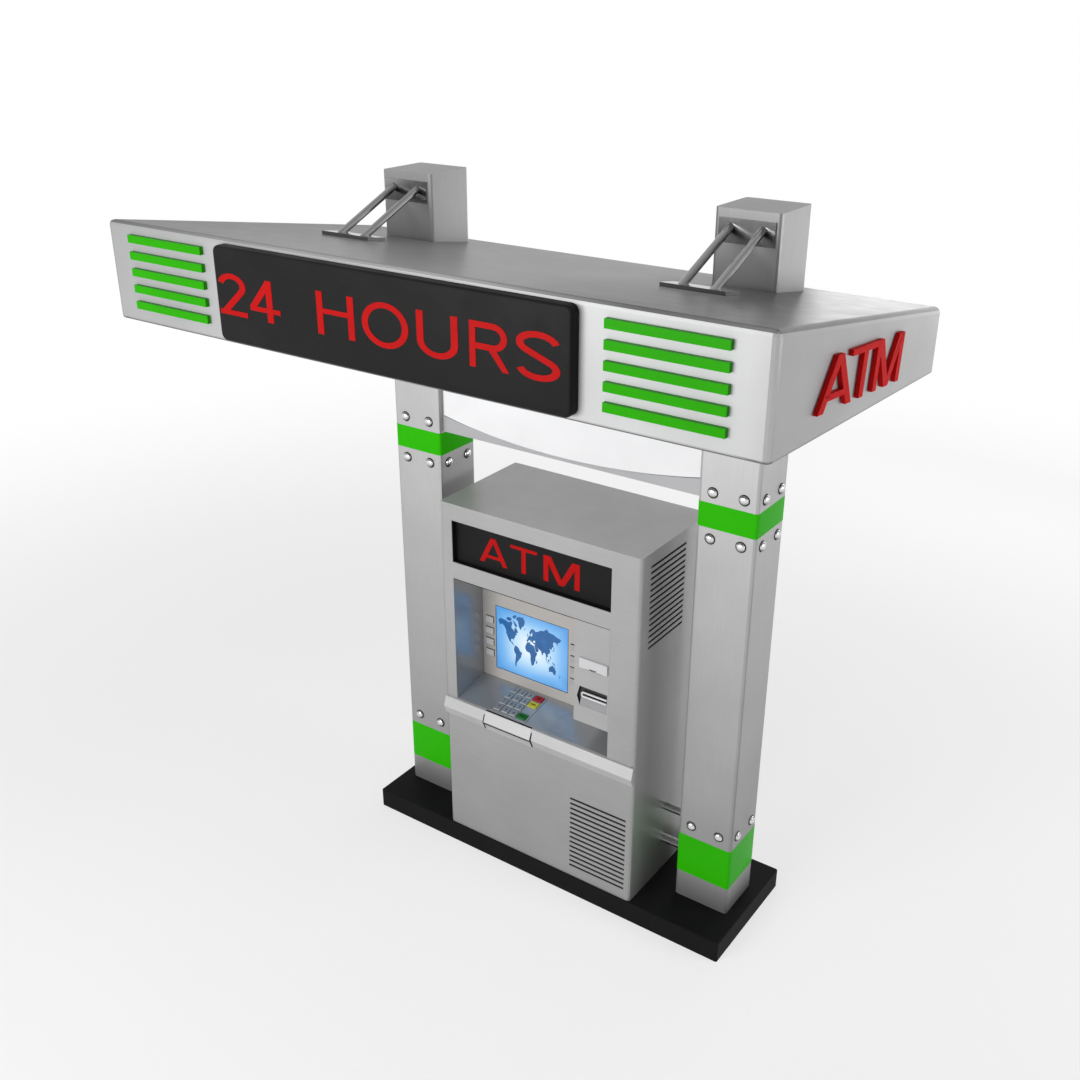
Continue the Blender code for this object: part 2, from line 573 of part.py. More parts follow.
safe_door = rear_door("safe_door", SAFE_DOOR_Z, SAFE_DOOR_T, DARK, tray=False)
door_handle("safe_handle", safe_door, sum(SAFE_DOOR_Z) / 2, 0.015)
service_door = rear_door("service_door", SERVICE_DOOR_Z, SERVICE_DOOR_T, SATIN, tray=True)
door_handle("service_handle", service_door, sum(SERVICE_DOOR_Z) / 2, 0.012)

# ---------------------------------------------------------- safe and insides
safe_back = CAB_BACK - SAFE_DOOR_T - RUN
safe = piece("safe_body", boxes(((-SAFE_HALF, SAFE_FRONT, cab_floor), (SAFE_HALF, safe_back, SAFE_TOP))),
             DARK)
safe_floor = cab_floor + SAFE_WALL
cut(safe, boxes(((-SAFE_HALF + SAFE_WALL, SAFE_FRONT + SAFE_WALL, safe_floor),
                 (SAFE_HALF - SAFE_WALL, safe_back + 0.01, SAFE_TOP - SAFE_WALL))))
cut(safe, boxes(((THROAT_X[0] - RUN, -THROAT_Y - RUN, SAFE_TOP - SAFE_WALL - 0.002),
                 (THROAT_X[1] + RUN, THROAT_Y + RUN, SAFE_TOP + 0.01))))
throat_low = SAFE_TOP - SAFE_WALL - 0.002
piece("cash_cassette", round_edges(
    boxes(((THROAT_X[0], -CASSETTE_Y, safe_floor + GAP), (THROAT_X[1], CASSETTE_Y, throat_low - GAP))),
    0.004, lambda d, m: abs(d.z) > 0.9, 1), GREY)

nozzle_x = (CASH_X[0] + RUN, CASH_X[1] - RUN)
nozzle_z = (CASH_Z[0] + RUN, CASH_Z[1] - RUN)
dispenser = piece("cash_dispenser", boxes(((CASH_X[0] - 0.010, CAB_FRONT + SHEET + GAP, SAFE_TOP + GAP),
                                           (CASH_X[1] + 0.010, 0.100, CASH_Z[1] - RUN))), DARK)
join(dispenser, boxes(((nozzle_x[0], CAB_FRONT, nozzle_z[0]),
                       (nozzle_x[1], CAB_FRONT + 0.010, nozzle_z[1] - 0.001))))
join(dispenser, boxes(((THROAT_X[0], -THROAT_Y, throat_low), (THROAT_X[1], THROAT_Y, SAFE_TOP + 0.005))))
cut(dispenser, boxes(((nozzle_x[0] + 0.008, CAB_FRONT - 0.01, nozzle_z[0] + 0.006),
                      (nozzle_x[1] - 0.008, -0.100, nozzle_z[1] - 0.006))))
computer_y = recess_back + SHEET + COMPUTER_BACKSET
piece("computer", boxes(((COMPUTER_X[0], computer_y, SAFE_TOP + GAP),
                         (COMPUTER_X[1], computer_y + COMPUTER_D, SAFE_TOP + COMPUTER_TOP))), GREY)

atm_depth = (CAB_FRONT + SHEET + GAP, CAB_FRONT + ATM_DEPTH + SHEET)
atm_box = piece("atm_sign_box", boxes(((ATM_X[0] - 0.008, atm_depth[0], ATM_Z[0] - 0.008),
                                       (ATM_X[1] + 0.008, atm_depth[1], ATM_Z[1] + 0.008))), BLACK)
cut(atm_box, boxes(((ATM_X[0], CAB_FRONT, ATM_Z[0]), (ATM_X[1], CAB_FRONT + ATM_DEPTH, ATM_Z[1]))))


# -------------------------------------------------------------------- recess
def recess_block(grow, front, back):
    """The recess as a solid, its floor on the shelf's slope."""
    bm = boxes(((OPEN_X[0] - grow, front, -1), (OPEN_X[1] + grow, back, OPEN_TOP + grow)))
    for v in bm.verts:
        if v.co.z < 0:
            v.co.z = SHELF_Z[0] + math.tan(slope) * (v.co.y - CAB_FRONT) - grow
    return bm


surround = piece("recess_surround", recess_block(SHEET, CAB_FRONT + SHEET + GAP, recess_back + SHEET), GREY)
cut(surround, recess_block(0, CAB_FRONT - 0.01, recess_back))
back_span = (recess_back - 0.002, recess_back + SHEET + 0.002)
cut(surround, boxes(((SCREEN_X[0], back_span[0], SCREEN_Z[0]), (SCREEN_X[1], back_span[1], SCREEN_Z[1]))))

panel_back = recess_back + SHEET
screen = piece("display_screen", boxes(((SCREEN_X[0] - 0.008, panel_back + GAP, SCREEN_Z[0] - 0.015),
                                        (SCREEN_X[1] + 0.008, panel_back + SCREEN_T, SCREEN_Z[1] + 0.015))),
               GLASS)
join(screen, boxes(((SCREEN_X[0] + GAP, recess_back + 0.0012, SCREEN_Z[0] + GAP),
                    (SCREEN_X[1] - GAP, panel_back + 0.005, SCREEN_Z[1] - GAP))))

for label, side in sides():
    for row in range(4):
        x, z = screen_mid + side * FDK_OFFSET, FDK_TOP - row * FDK_PITCH
        cut(surround, boxes(((x - FDK_W / 2 - RUN, back_span[0], z - FDK_H / 2 - RUN),
                             (x + FDK_W / 2 + RUN, back_span[1], z + FDK_H / 2 + RUN))))
        button = piece(f"fdk_{label}_{row + 1}", round_edges(
            boxes(((x - FDK_W / 2, recess_back - FDK_PROUD, z - FDK_H / 2),
                   (x + FDK_W / 2, panel_back + RUN + 0.001, z + FDK_H / 2))),
            0.0008, lambda d, m: m.y < recess_back - FDK_PROUD + 0.0001, 1), GREY, origin=(x, recess_back, z))
        join(button, boxes(((x - FDK_W / 2 - KEY_LIP, panel_back + RUN, z - FDK_H / 2 - KEY_LIP),
                            (x + FDK_W / 2 + KEY_LIP, panel_back + RUN + 0.0015, z + FDK_H / 2 + KEY_LIP))))

# -------------------------------------------------------------------- keypad
key_columns = [(KEY_COL1 + i * KEY_PITCH, KEY) for i in range(3)] + [(WIDE_COL, WIDE_KEY)]
key_rows = [KEY_ROW1 + i * KEY_PITCH for i in range(4)]
pad_u = (key_columns[0][0] - KEY / 2 - PAD_MARGIN, WIDE_COL + WIDE_KEY / 2 + PAD_MARGIN)
pad_v = (key_rows[0] - KEY / 2 - PAD_MARGIN, key_rows[-1] + KEY / 2 + PAD_MARGIN)


def on_shelf(bm):
    """Move a solid from the shelf's own frame (across, up the slope, off it) into place."""
    bmesh.ops.transform(bm, verts=bm.verts, matrix=shelf)
    return bm


def pad_box(inset, low, high):
    return boxes(((pad_u[0] + inset, pad_v[0] + inset, low), (pad_u[1] - inset, pad_v[1] - inset, high)))


cut(surround, on_shelf(pad_box(0.003, -SHEET - 0.003, 0.003)))
pad = piece("keypad_frame", on_shelf(pad_box(0, GAP, PAD_TOP)), SATIN)
join(pad, on_shelf(pad_box(0.003 + GAP, -PAD_DEPTH, 0.001)))
cut(pad, on_shelf(pad_box(0.005, -PAD_DEPTH + 0.002, -0.001)))
windows = []
for v, names in zip(key_rows, KEY_NAMES):
    for (u, width), label in zip(key_columns, names):
        if label is None:
            continue
        half_u, half_v = width / 2, KEY / 2
        windows.append(((u - half_u - RUN, v - half_v - RUN, -0.002),
                        (u + half_u + RUN, v + half_v + RUN, 0.01)))
        colour = {"cancel": RED, "clear": YELLOW, "enter": GREEN_KEY}.get(label, SATIN)
        cap = boxes(((u - half_u, v - half_v, -0.003), (u + half_u, v + half_v, KEY_RISE)))
        round_edges(cap, 0.0012, lambda d, m: m.z > KEY_RISE - 0.0001, 1)
        key = piece(f"key_{label}", on_shelf(cap), colour, origin=shelf @ Vector((u, v, 0)))
        join(key, on_shelf(boxes(((u - half_u - KEY_LIP, v - half_v - KEY_LIP, -0.0035),
                                  (u + half_u + KEY_LIP, v + half_v + KEY_LIP, -0.001 - RUN)))))
cut(pad, on_shelf(boxes(*windows)))

# ------------------------------------------------------------ service module
mod_x, mod_z = (MOD_LEFT, OPEN_X[1] - GAP), (MOD_LOW, OPEN_TOP - GAP)
module = piece("service_module", boxes(((mod_x[0], CAB_FRONT, mod_z[0]),
                                        (mod_x[1], recess_back - GAP, mod_z[1]))), SATIN)
cut(module, boxes(((mod_x[0] + SHEET, CAB_FRONT + SHEET, mod_z[0] + SHEET),
                   (mod_x[1] - SHEET, recess_back + 0.01, mod_z[1] - SHEET))))
slot_mid, slot_z = sum(RECEIPT_X) / 2, (RECEIPT_Z[0] - RECEIPT_SLOT_H, RECEIPT_Z[0])
slot_x = (slot_mid - RECEIPT_SLOT_W / 2, slot_mid + RECEIPT_SLOT_W / 2)
cut(module, boxes(((RECEIPT_X[0], front_span[0], RECEIPT_Z[0]), (RECEIPT_X[1], front_span[1], RECEIPT_Z[1]))))
cut(module, boxes(((slot_x[0], front_span[0], slot_z[0]), (slot_x[1], front_span[1], slot_z[1] + 0.001))))
cut(module, outline_solid([(CARD_NOSE, sum(CARD_Z) / 2 - 0.003), (CARD_X[0], CARD_Z[0]),
                           (CARD_X[1], CARD_Z[0]), (CARD_X[1], CARD_Z[1]), (CARD_X[0], CARD_Z[1])],
                          *front_span, "Y"))

mouth = CAB_FRONT + SHEET + GAP
mod_inside = mod_x[1] - SHEET - GAP
printer = piece("receipt_printer", boxes(((mod_x[0] + SHEET + GAP, mouth, RECEIPT_Z[0] - 0.010),
                                          (mod_inside, mouth + 0.006, RECEIPT_Z[1] + 0.010))), SATIN)
printer_top = RECEIPT_Z[1] + 0.030
unit_x, unit_back = (mod_x[0] + 0.014, mod_x[1] - 0.012), recess_back - 0.025
join(printer, boxes(((unit_x[0], mouth + 0.004, RECEIPT_Z[0] - 0.030), (unit_x[1], unit_back, printer_top))))
plate_y = (CAB_FRONT - RECEIPT_PROUD, mouth + 0.002)
join(printer, round_edges(
    boxes(((RECEIPT_X[0] + GAP, plate_y[0], RECEIPT_Z[0] + GAP),
           (RECEIPT_X[1] - GAP, plate_y[1], RECEIPT_Z[1] - GAP))),
    0.001, lambda d, m: m.y < plate_y[0] + 0.0001, 1))
cut(printer, boxes(((slot_x[0], CAB_FRONT - 0.001, slot_z[0]),
                    (slot_x[1], CAB_FRONT + RECEIPT_SLOT_D, slot_z[1]))))
notch_w, notch_h, notch_d = THUMB_NOTCH
cut(printer, boxes(((slot_mid - notch_w / 2, plate_y[0] - 0.01, RECEIPT_Z[0] - 0.001),
                    (slot_mid + notch_w / 2, plate_y[0] + notch_d, RECEIPT_Z[0] + notch_h))))
roll_y, roll_z = ROLL_YZ
roll_mid = sum(mod_x) / 2
roll_x = (roll_mid - ROLL_W / 2, roll_mid + ROLL_W / 2)
cheeks = [(roll_x[0] - 0.006, roll_x[0] - 0.002), (roll_x[1] + 0.002, roll_x[1] + 0.006)]
join(printer, boxes(*(((a, roll_y - 0.015, printer_top - 0.005), (b, roll_y + 0.015, roll_z + 0.015))
                      for a, b in cheeks)))
cut(printer, bars(0.004 + RUN, *(((a - 0.002, roll_y, roll_z), (b + 0.002, roll_y, roll_z))
                                 for a, b in cheeks)))
roll = piece("paper_roll", bars(ROLL_R, ((roll_x[0], roll_y, roll_z), (roll_x[1], roll_y, roll_z)),
                                segments=24), WHITE, origin=(roll_mid, roll_y, roll_z))
join(roll, bars(0.004, ((roll_x[0] - 0.008, roll_y, roll_z), (roll_x[1] + 0.008, roll_y, roll_z))))

card_face = CAB_FRONT + CARD_BACKSET
reader = piece("card_reader", boxes(((mod_x[0] + SHEET + GAP, card_face, CARD_Z[0] - 0.010),
                                     (mod_inside, card_face + 0.006, CARD_Z[1] + 0.010))), DARK)
join(reader, round_edges(
    boxes(((CARD_X[0] + 0.006, CAB_FRONT + 0.002, CARD_LIP_Z[0]),
           (CARD_X[1] - GAP, card_face + 0.003, CARD_LIP_Z[1]))),
    (CARD_LIP_Z[1] - CARD_LIP_Z[0]) * 0.45, lambda d, m: abs(d.y) > 0.9 and m.x < CARD_X[0] + 0.01))
join(reader, boxes(((unit_x[0], card_face + 0.004, CARD_Z[0] + 0.010), (unit_x[1], unit_back, CARD_Z[1]))))
cut(reader, boxes(((CARD_X[0] + 0.015, CAB_FRONT - 0.01, CARD_SLOT_Z[0]),
                   (CARD_X[1] - 0.005, CAB_FRONT + CARD_SLOT_D, CARD_SLOT_Z[1]))))


# ------------------------------------------------------- ledge rail and flap
def ledge_profile(back, nose):
    """Y, Z outline of the ledge, from its back face to its nose."""
    out = CAB_FRONT - GAP
    return [(out - back, RAIL_Z[0]), (out - RAIL_LIP, RAIL_Z[0] + 0.001), (out - nose, RAIL_NOSE_Z),
            (out - RAIL_LIP, RAIL_Z[1] - 0.002), (out - back, RAIL_Z[1])]


rail_y = CAB_FRONT - GAP
rail = piece("ledge_rail", outline_solid(ledge_profile(0, RAIL_NOSE), -CAB_HALF, CAB_HALF, "X"), WHITE)
cut(rail, boxes(((FLAP_X[0] - RUN, rail_y - 0.1, RAIL_Z[0] - 0.01),
                 (FLAP_X[1] + RUN, rail_y - RAIL_BACK, RAIL_Z[1] + 0.01))))
cut(rail, boxes(((FLAP_X[0] - RUN, rail_y - 0.01, RAIL_Z[0] - 0.01),
                 (FLAP_X[1] + RUN, rail_y + 0.01, PIVOT_Z + KNUCKLE_R + 0.0015))))
cut(rail, boxes(((CASH_X[0], rail_y - 0.01, CASH_Z[0]), (CASH_X[1], rail_y + 0.01, CASH_Z[1]))))
pivot = (CAB_FRONT - PIVOT_D, PIVOT_Z)
ends = [(FLAP_X[0] - RUN - 0.012, FLAP_X[0] - RUN), (FLAP_X[1] + RUN, FLAP_X[1] + RUN + 0.012)]
join(rail, bars(KNUCKLE_R, *(((a, *pivot), (b, *pivot)) for a, b in ends), segments=12))
cut(rail, bars(FLAP_PIN_R + RUN, *(((a + 0.002, *pivot), (b - 0.002, *pivot)) for a, b in
                                  ((ends[0][0], ends[0][1] + 0.006), (ends[1][0] - 0.006, ends[1][1]))),
               segments=12))
flap = piece("cash_flap", outline_solid(ledge_profile(RAIL_BACK + RUN, RAIL_NOSE + FLAP_EXTRA), *FLAP_X, "X"),
             WHITE, origin=(sum(FLAP_X) / 2, *pivot))
join(flap, bars(KNUCKLE_R, ((FLAP_X[0], *pivot), (FLAP_X[1], *pivot)), segments=12))
join(flap, bars(FLAP_PIN_R, ((FLAP_X[0] - 0.009, *pivot), (FLAP_X[1] + 0.009, *pivot)), segments=12))
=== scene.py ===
"""Looks of the cash machine kiosk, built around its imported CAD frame.

Frame: X right, Y to the back, Z up, metres.  The user stands at -Y.
"""
import math

import bmesh
import bpy
from mathutils import Matrix, Vector


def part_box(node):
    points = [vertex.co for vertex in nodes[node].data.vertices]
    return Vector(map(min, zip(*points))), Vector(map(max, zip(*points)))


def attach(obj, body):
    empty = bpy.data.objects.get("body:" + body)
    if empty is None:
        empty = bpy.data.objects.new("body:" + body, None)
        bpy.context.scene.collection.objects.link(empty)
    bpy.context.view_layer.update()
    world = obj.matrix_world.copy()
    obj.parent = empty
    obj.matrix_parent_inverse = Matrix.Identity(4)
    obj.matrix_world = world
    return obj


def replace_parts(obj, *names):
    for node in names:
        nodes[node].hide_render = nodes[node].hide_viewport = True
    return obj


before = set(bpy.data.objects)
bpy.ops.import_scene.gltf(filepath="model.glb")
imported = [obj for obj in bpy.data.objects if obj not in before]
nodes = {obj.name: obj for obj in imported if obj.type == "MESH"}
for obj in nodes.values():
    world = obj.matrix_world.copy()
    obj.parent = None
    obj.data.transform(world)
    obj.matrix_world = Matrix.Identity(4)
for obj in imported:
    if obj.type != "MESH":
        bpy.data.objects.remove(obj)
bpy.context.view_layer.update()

ROOT = "kiosk"
LIFT = 0.0003                     # a film or print stands this far off what it lies on

# ---- the view
AZIMUTH, ELEVATION = 35.145, 24.963
EYE = (2.2020, -3.3442, 3.2325)
LENS = 40.61                      # on a 36 mm sensor


# ---- materials
class Shade:
    """A node-based material under construction."""

    def __init__(self, name, roughness=0.4, metallic=0.0, **fixed):
        self.mat = bpy.data.materials.new(name)
        self.mat.use_nodes = True
        self.tree = self.mat.node_tree
        self.shader = self.tree.nodes["Principled BSDF"]
        self.shader.inputs["Roughness"].default_value = roughness
        self.shader.inputs["Metallic"].default_value = metallic
        for key, value in fixed.items():
            self.shader.inputs[key.replace("_", " ")].default_value = value
        self.place = None

    def node(self, kind, **settings):
        made = self.tree.nodes.new(kind)
        for key, value in settings.items():
            setattr(made, key, value)
        return made

    def feed(self, socket, value):
        """Link a socket to another's output, or set it to a number or a colour."""
        if isinstance(value, (int, float)):
            socket.default_value = value
        elif isinstance(value, (tuple, list)):
            socket.default_value = (*value[:3], 1.0) if socket.type == "RGBA" else value
        else:
            self.tree.links.new(value, socket)

    def coords(self, scale=(1, 1, 1)):
        """Object coordinates, which are metres in the shared frame, times a scale."""
        if self.place is None:
            self.place = self.node("ShaderNodeTexCoord").outputs["Object"]
        mapping = self.node("ShaderNodeMapping")
        mapping.inputs["Scale"].default_value = scale
        self.feed(mapping.inputs["Vector"], self.place)
        return mapping.outputs["Vector"]

    def axes(self, scale=(1, 1, 1)):
        split = self.node("ShaderNodeSeparateXYZ")
        self.feed(split.inputs[0], self.coords(scale))
        return split.outputs

    def noise(self, size, detail=2.0, stretch=(1, 1, 1), rough=0.5):
        """Noise with blobs about size metres, drawn out along an axis by a small stretch."""
        noise = self.node("ShaderNodeTexNoise")
        noise.inputs["Scale"].default_value = 1.0
        noise.inputs["Detail"].default_value = detail
        noise.inputs["Roughness"].default_value = rough
        self.feed(noise.inputs["Vector"], self.coords([s / size for s in stretch]))
        return noise.outputs["Fac"]

    def ramp(self, fac, *stops):
        ramp = self.node("ShaderNodeValToRGB")
        elements = ramp.color_ramp.elements
        while len(elements) < len(stops):
            elements.new(0.5)
        for element, (where, colour) in zip(elements, stops):
            element.position = where
            element.color = (*colour, 1.0)
        self.feed(ramp.inputs["Fac"], fac)
        return ramp.outputs["Color"]

    def tones(self, fac, low, high, tint=(1, 1, 1)):
        """A tint between two levels, over the middle of a noise's range."""
        return self.ramp(fac, (0.3, shade(low, tint)), (0.7, shade(high, tint)))

    def levels(self, fac, pairs, span=1.0, start=0.0):
        """Greys by pairs of a place and a level, where span of the places fills the range from start."""
        return self.ramp(fac, *[(start + place / span, shade(level)) for place, level in pairs])

    def times(self, a, b):
        return self.mix(1.0, a, b, "MULTIPLY")

    def math(self, operation, *values):
        made = self.node("ShaderNodeMath", operation=operation)
        for socket, value in zip(made.inputs, values):
            self.feed(socket, value)
        return made.outputs[0]

    def mix(self, fac, a, b, blend="MIX"):
        made = self.node("ShaderNodeMix", data_type="RGBA", blend_type=blend)
        sockets = {s.name: s for s in made.inputs if s.enabled}
        for key, value in (("Factor", fac), ("A", a), ("B", b)):
            self.feed(sockets[key], value)
        return [s for s in made.outputs if s.enabled][0]

    def normal(self):
        """The shading normal in the shared frame, split into its axes."""
        split = self.node("ShaderNodeSeparateXYZ")
        self.feed(split.inputs[0], self.node("ShaderNodeTexCoord").outputs["Normal"])
        return split.outputs

    def span(self, fac, low, high):
        spread = self.node("ShaderNodeMapRange")
        spread.inputs["To Min"].default_value = low
        spread.inputs["To Max"].default_value = high
        self.feed(spread.inputs["Value"], fac)
        return spread.outputs["Result"]

    def set(self, socket, value):
        self.feed(self.shader.inputs[socket], value)

    def bump(self, height, distance, strength=1.0):
        bump = self.node("ShaderNodeBump")
        bump.inputs["Distance"].default_value = distance
        bump.inputs["Strength"].default_value = strength
        self.feed(bump.inputs["Height"], height)
        before = self.shader.inputs["Normal"]
        if before.is_linked:
            self.feed(bump.inputs["Normal"], before.links[0].from_socket)
        self.set("Normal", bump.outputs["Normal"])


def shade(level, tint=(1, 1, 1)):
    return tuple(level * t for t in tint)


HEIGHT = 2.7                      # ramps by height run from the floor to here
HALF_WIDTH = 1.15                 # and ramps along X span this far each way
UPRIGHT = (1, 1, 0.02)            # brushing runs up and down
LEVEL = (0.02, 0.02, 1)           # brushing runs round the sides
ACROSS = (0.02, 1, 1)             # brushing runs from side to side


def satin_metal(name, level, brush, metallic, rough, tint=(1, 1, 1), height_shade=(), corners=()):
    """Satin silver: fine brushing, faint clouds in the tone, handling marks in the gloss.

    By height it takes painted shade, where the light falls off towards the floor and under the canopy:
    pairs of a height in metres and a level. On the rounded upright corners it takes a painted highlight
    between two darker bands of painted reflection: pairs of the normal's share along X and a level.
    """
    s = Shade(name, metallic=metallic)
    cloud = s.noise(0.30, 3)
    hair = s.noise(0.0022, 3, brush, 0.65)
    marks = s.noise(0.05, 5, rough=0.7)
    tone = s.tones(cloud, level * 0.94, level * 1.04, tint)
    grain = s.ramp(hair, (0.25, shade(0.88)), (0.75, shade(1.0)))
    colour = s.times(tone, grain)
    # painted shade by height: the light falls off towards the floor and under the canopy
    if height_shade:
        height = s.math("DIVIDE", s.axes()[2], HEIGHT)
        colour = s.times(colour, s.levels(height, height_shade, HEIGHT))
    # painted highlight and reflection on the rounded upright corners
    if corners:
        turned = s.math("ABSOLUTE", s.normal()[0])
        colour = s.times(colour, s.levels(turned, corners))
    s.set("Base Color", colour)
    blend = s.math("MULTIPLY_ADD", hair, 0.45, s.math("MULTIPLY", marks, 0.55))
    s.set("Roughness", s.span(blend, *rough))
    s.bump(hair, 0.00004, 0.4)
    return s.mat


# painted highlight on the canopy's rounded upright corners, by the normal's share along X
CANOPY_CORNER_HIGHLIGHT = ((0.06, 1.0), (0.28, 0.82), (0.60, 1.32), (0.84, 0.80), (0.96, 1.0))
# painted shade on the canopy's faces that look down, by the normal's Z
UNDERSIDE_SHADE = ((0.05, 0.22), (0.28, 0.34), (0.46, 1.0))


def painted(name, colour, rough=(0.28, 0.40), metallic=0.0, peel=0.25, dust=0.04, shade_sweep=(), roof_shade=(), **fixed):
    """Sprayed paint: orange-peel ripple, faint clouds, and a little dust that dulls it.

    Along X it takes painted light and shade: pairs of a place and a level. A second table does so for
    faces that look up, as painted shade and reflection on the roof; with it come a painted highlight on
    the rounded upright corners and painted shade on the faces that look down.
    """
    s = Shade(name, metallic=metallic, **fixed)
    cloud = s.noise(0.25, 3)
    specks = s.noise(0.012, 6, rough=0.7)
    tone = s.tones(cloud, 0.95, 1.03, colour)
    if shade_sweep or roof_shade:
        along = s.math("MULTIPLY_ADD", s.axes()[0], 0.5 / HALF_WIDTH, 0.5)
    # painted light and shade along X
    if shade_sweep:
        swept_shade = s.levels(along, shade_sweep, HALF_WIDTH * 2, 0.5)
        tone = s.times(tone, swept_shade)
    # faces that look up take painted shade and reflection patches along X
    if roof_shade:
        roof_shade_tone = s.levels(along, roof_shade, HALF_WIDTH * 2, 0.5)
        roof_shade_tone = s.times(roof_shade_tone, s.tones(cloud, 0.93, 1.0))
        # painted highlight on the rounded upright corners
        turned = s.math("ABSOLUTE", s.normal()[0])
        tone = s.times(tone, s.levels(turned, CANOPY_CORNER_HIGHLIGHT))
        # painted shade on the faces that look down
        lifted = s.math("MULTIPLY_ADD", s.normal()[2], 0.5, 0.5)
        tone = s.times(tone, s.levels(lifted, UNDERSIDE_SHADE))
        upward = s.ramp(s.normal()[2], (0.45, shade(0.0)), (0.80, shade(1.0)))
        tone = s.mix(upward, tone, roof_shade_tone)
    dusty = s.math("MULTIPLY", s.math("GREATER_THAN", specks, 0.60), dust)
    s.set("Base Color", s.mix(dusty, tone, (0.35, 0.34, 0.32)))
    s.set("Roughness", s.span(s.noise(0.07, 4), *rough))
    s.bump(s.noise(0.0045, 2), 0.00006, peel)
    return s.mat


def moulded(name, colour, rough=(0.42, 0.55), grain=0.0009, depth=0.00006, metallic=0.0, **fixed):
    """Moulded plastic or textured paint with a fine pebbled grain."""
    s = Shade(name, metallic=metallic, **fixed)
    cloud = s.noise(0.08, 3)
    speck = s.noise(grain, 2)
    tone = s.tones(cloud, 0.90, 1.06, colour)
    s.set("Base Color", s.times(tone, s.tones(speck, 0.90, 1.0)))
    s.set("Roughness", s.span(speck, *rough))
    s.bump(speck, depth, 0.6)
    return s.mat


# painted reflection bands on steel, by how far a face tilts up or down
TILT_REFLECTION = ((0.05, 0.12), (0.30, 0.30), (0.46, 0.95), (0.62, 1.0), (0.80, 0.40), (0.95, 0.70))


def polished(name, level, rough=(0.06, 0.14)):
    """Polished steel with a haze of fine scratches, and painted reflection bands by how far a face tilts up
    or down.
    """
    s = Shade(name, metallic=1.0)
    haze = s.noise(0.02, 5, rough=0.7)
    tone = s.tones(haze, level * 0.92, level * 1.04)
    facing_up = s.math("MULTIPLY_ADD", s.normal()[2], 0.5, 0.5)
    tone = s.times(tone, s.levels(facing_up, TILT_REFLECTION))
    s.set("Base Color", tone)
    s.set("Roughness", s.span(haze, *rough))
    s.bump(s.noise(0.0008, 2, (1, 0.1, 1)), 0.00001, 0.3)
    return s.mat


def recess_finish(name, wall, bezel):
    """Satin metal walls round a bezel, which faces the user and is painted."""
    s = Shade(name)
    cloud = s.noise(0.20, 3)
    hair = s.noise(0.0022, 3, ACROSS, 0.65)
    metal = s.tones(cloud, 0.94, 1.04, wall)
    metal = s.times(metal, s.ramp(hair, (0.25, shade(0.90)), (0.75, shade(1.0))))
    paint = s.tones(cloud, 0.96, 1.03, bezel)
    to_user = s.math("LESS_THAN", s.normal()[1], -0.9)
    s.set("Base Color", s.mix(to_user, metal, paint))
    s.set("Metallic", s.span(to_user, 0.50, 0.0))
    s.set("Roughness", s.math("ADD", s.span(hair, 0.22, 0.30), s.math("MULTIPLY", to_user, 0.16)))
    s.bump(hair, 0.00003, 0.4)
    return s.mat


def dotted(s, pitch, radius):
    """1 inside each dot of a square grid on an upright face, else 0."""
    x, _, z = s.axes((1 / pitch, 1 / pitch, 1 / pitch))
    from_middle = [s.math("SUBTRACT", s.math("FRACT", v), 0.5) for v in (x, z)]
    squares = [s.math("MULTIPLY", v, v) for v in from_middle]
    return s.math("LESS_THAN", s.math("ADD", *squares), (radius / pitch) ** 2)


def led_face(name, pitch, radius):
    """Matt black board drilled with rows of unlit lamps."""
    s = Shade(name, **MATT)
    dots = dotted(s, pitch, radius)
    cloud = s.noise(0.15, 3)
    board = s.tones(cloud, 0.0140, 0.0180)
    s.set("Base Color", s.mix(dots, board, (0.012, 0.010, 0.010)))
    s.set("Roughness", s.span(s.math("MULTIPLY_ADD", dots, -0.5, s.noise(0.05, 3)), 0.35, 0.62))
    s.bump(dots, -0.0004, 0.6)
    return s.mat


def lit_letters(name, colour, glow, rough=(0.28, 0.45)):
    """Red acrylic lit a little from inside, with a fine lamp grid behind it."""
    s = Shade(name, **MATT)
    cloud = s.noise(0.05, 3)
    tone = s.tones(cloud, 0.92, 1.04, colour)
    s.set("Base Color", tone)
    s.set("Roughness", s.span(s.noise(0.01, 3), *rough))
    s.set("Emission Color", tone)
    s.set("Emission Strength", glow)
    s.bump(s.noise(0.0015, 2), 0.00004, 0.3)
    return s.mat


# painted shade by height for the columns and the cabinet: pairs of a height in metres and a level
COLUMN_HEIGHT_SHADE = ((0.02, 0.28), (0.19, 0.62), (0.55, 0.74), (1.30, 0.90), (1.90, 1.0), (2.25, 0.92),
                (2.60, 0.72))
CABINET_HEIGHT_SHADE = ((0.05, 0.80), (0.60, 0.92), (1.10, 1.0))
# painted highlight between two darker bands of painted reflection on the columns' rounded corners
CORNER_GLINT = ((0.03, 1.0), (0.20, 0.48), (0.55, 1.30), (0.84, 0.42), (0.98, 1.0))
# painted light and shade along the canopy, by X
FASCIA_SHADE = ((-1.15, 0.72), (-0.60, 0.88), (0.30, 1.12), (1.08, 1.12), (1.15, 1.0))
# painted shade and reflection on the canopy's roof, by X
ROOF_SHADE = ((-1.15, 0.17), (-0.35, 0.42), (0.30, 0.46), (0.80, 0.15), (1.15, 0.24))
MATT = {"Specular_IOR_Level": 0.05}
SOFT = {"Specular_IOR_Level": 0.20}

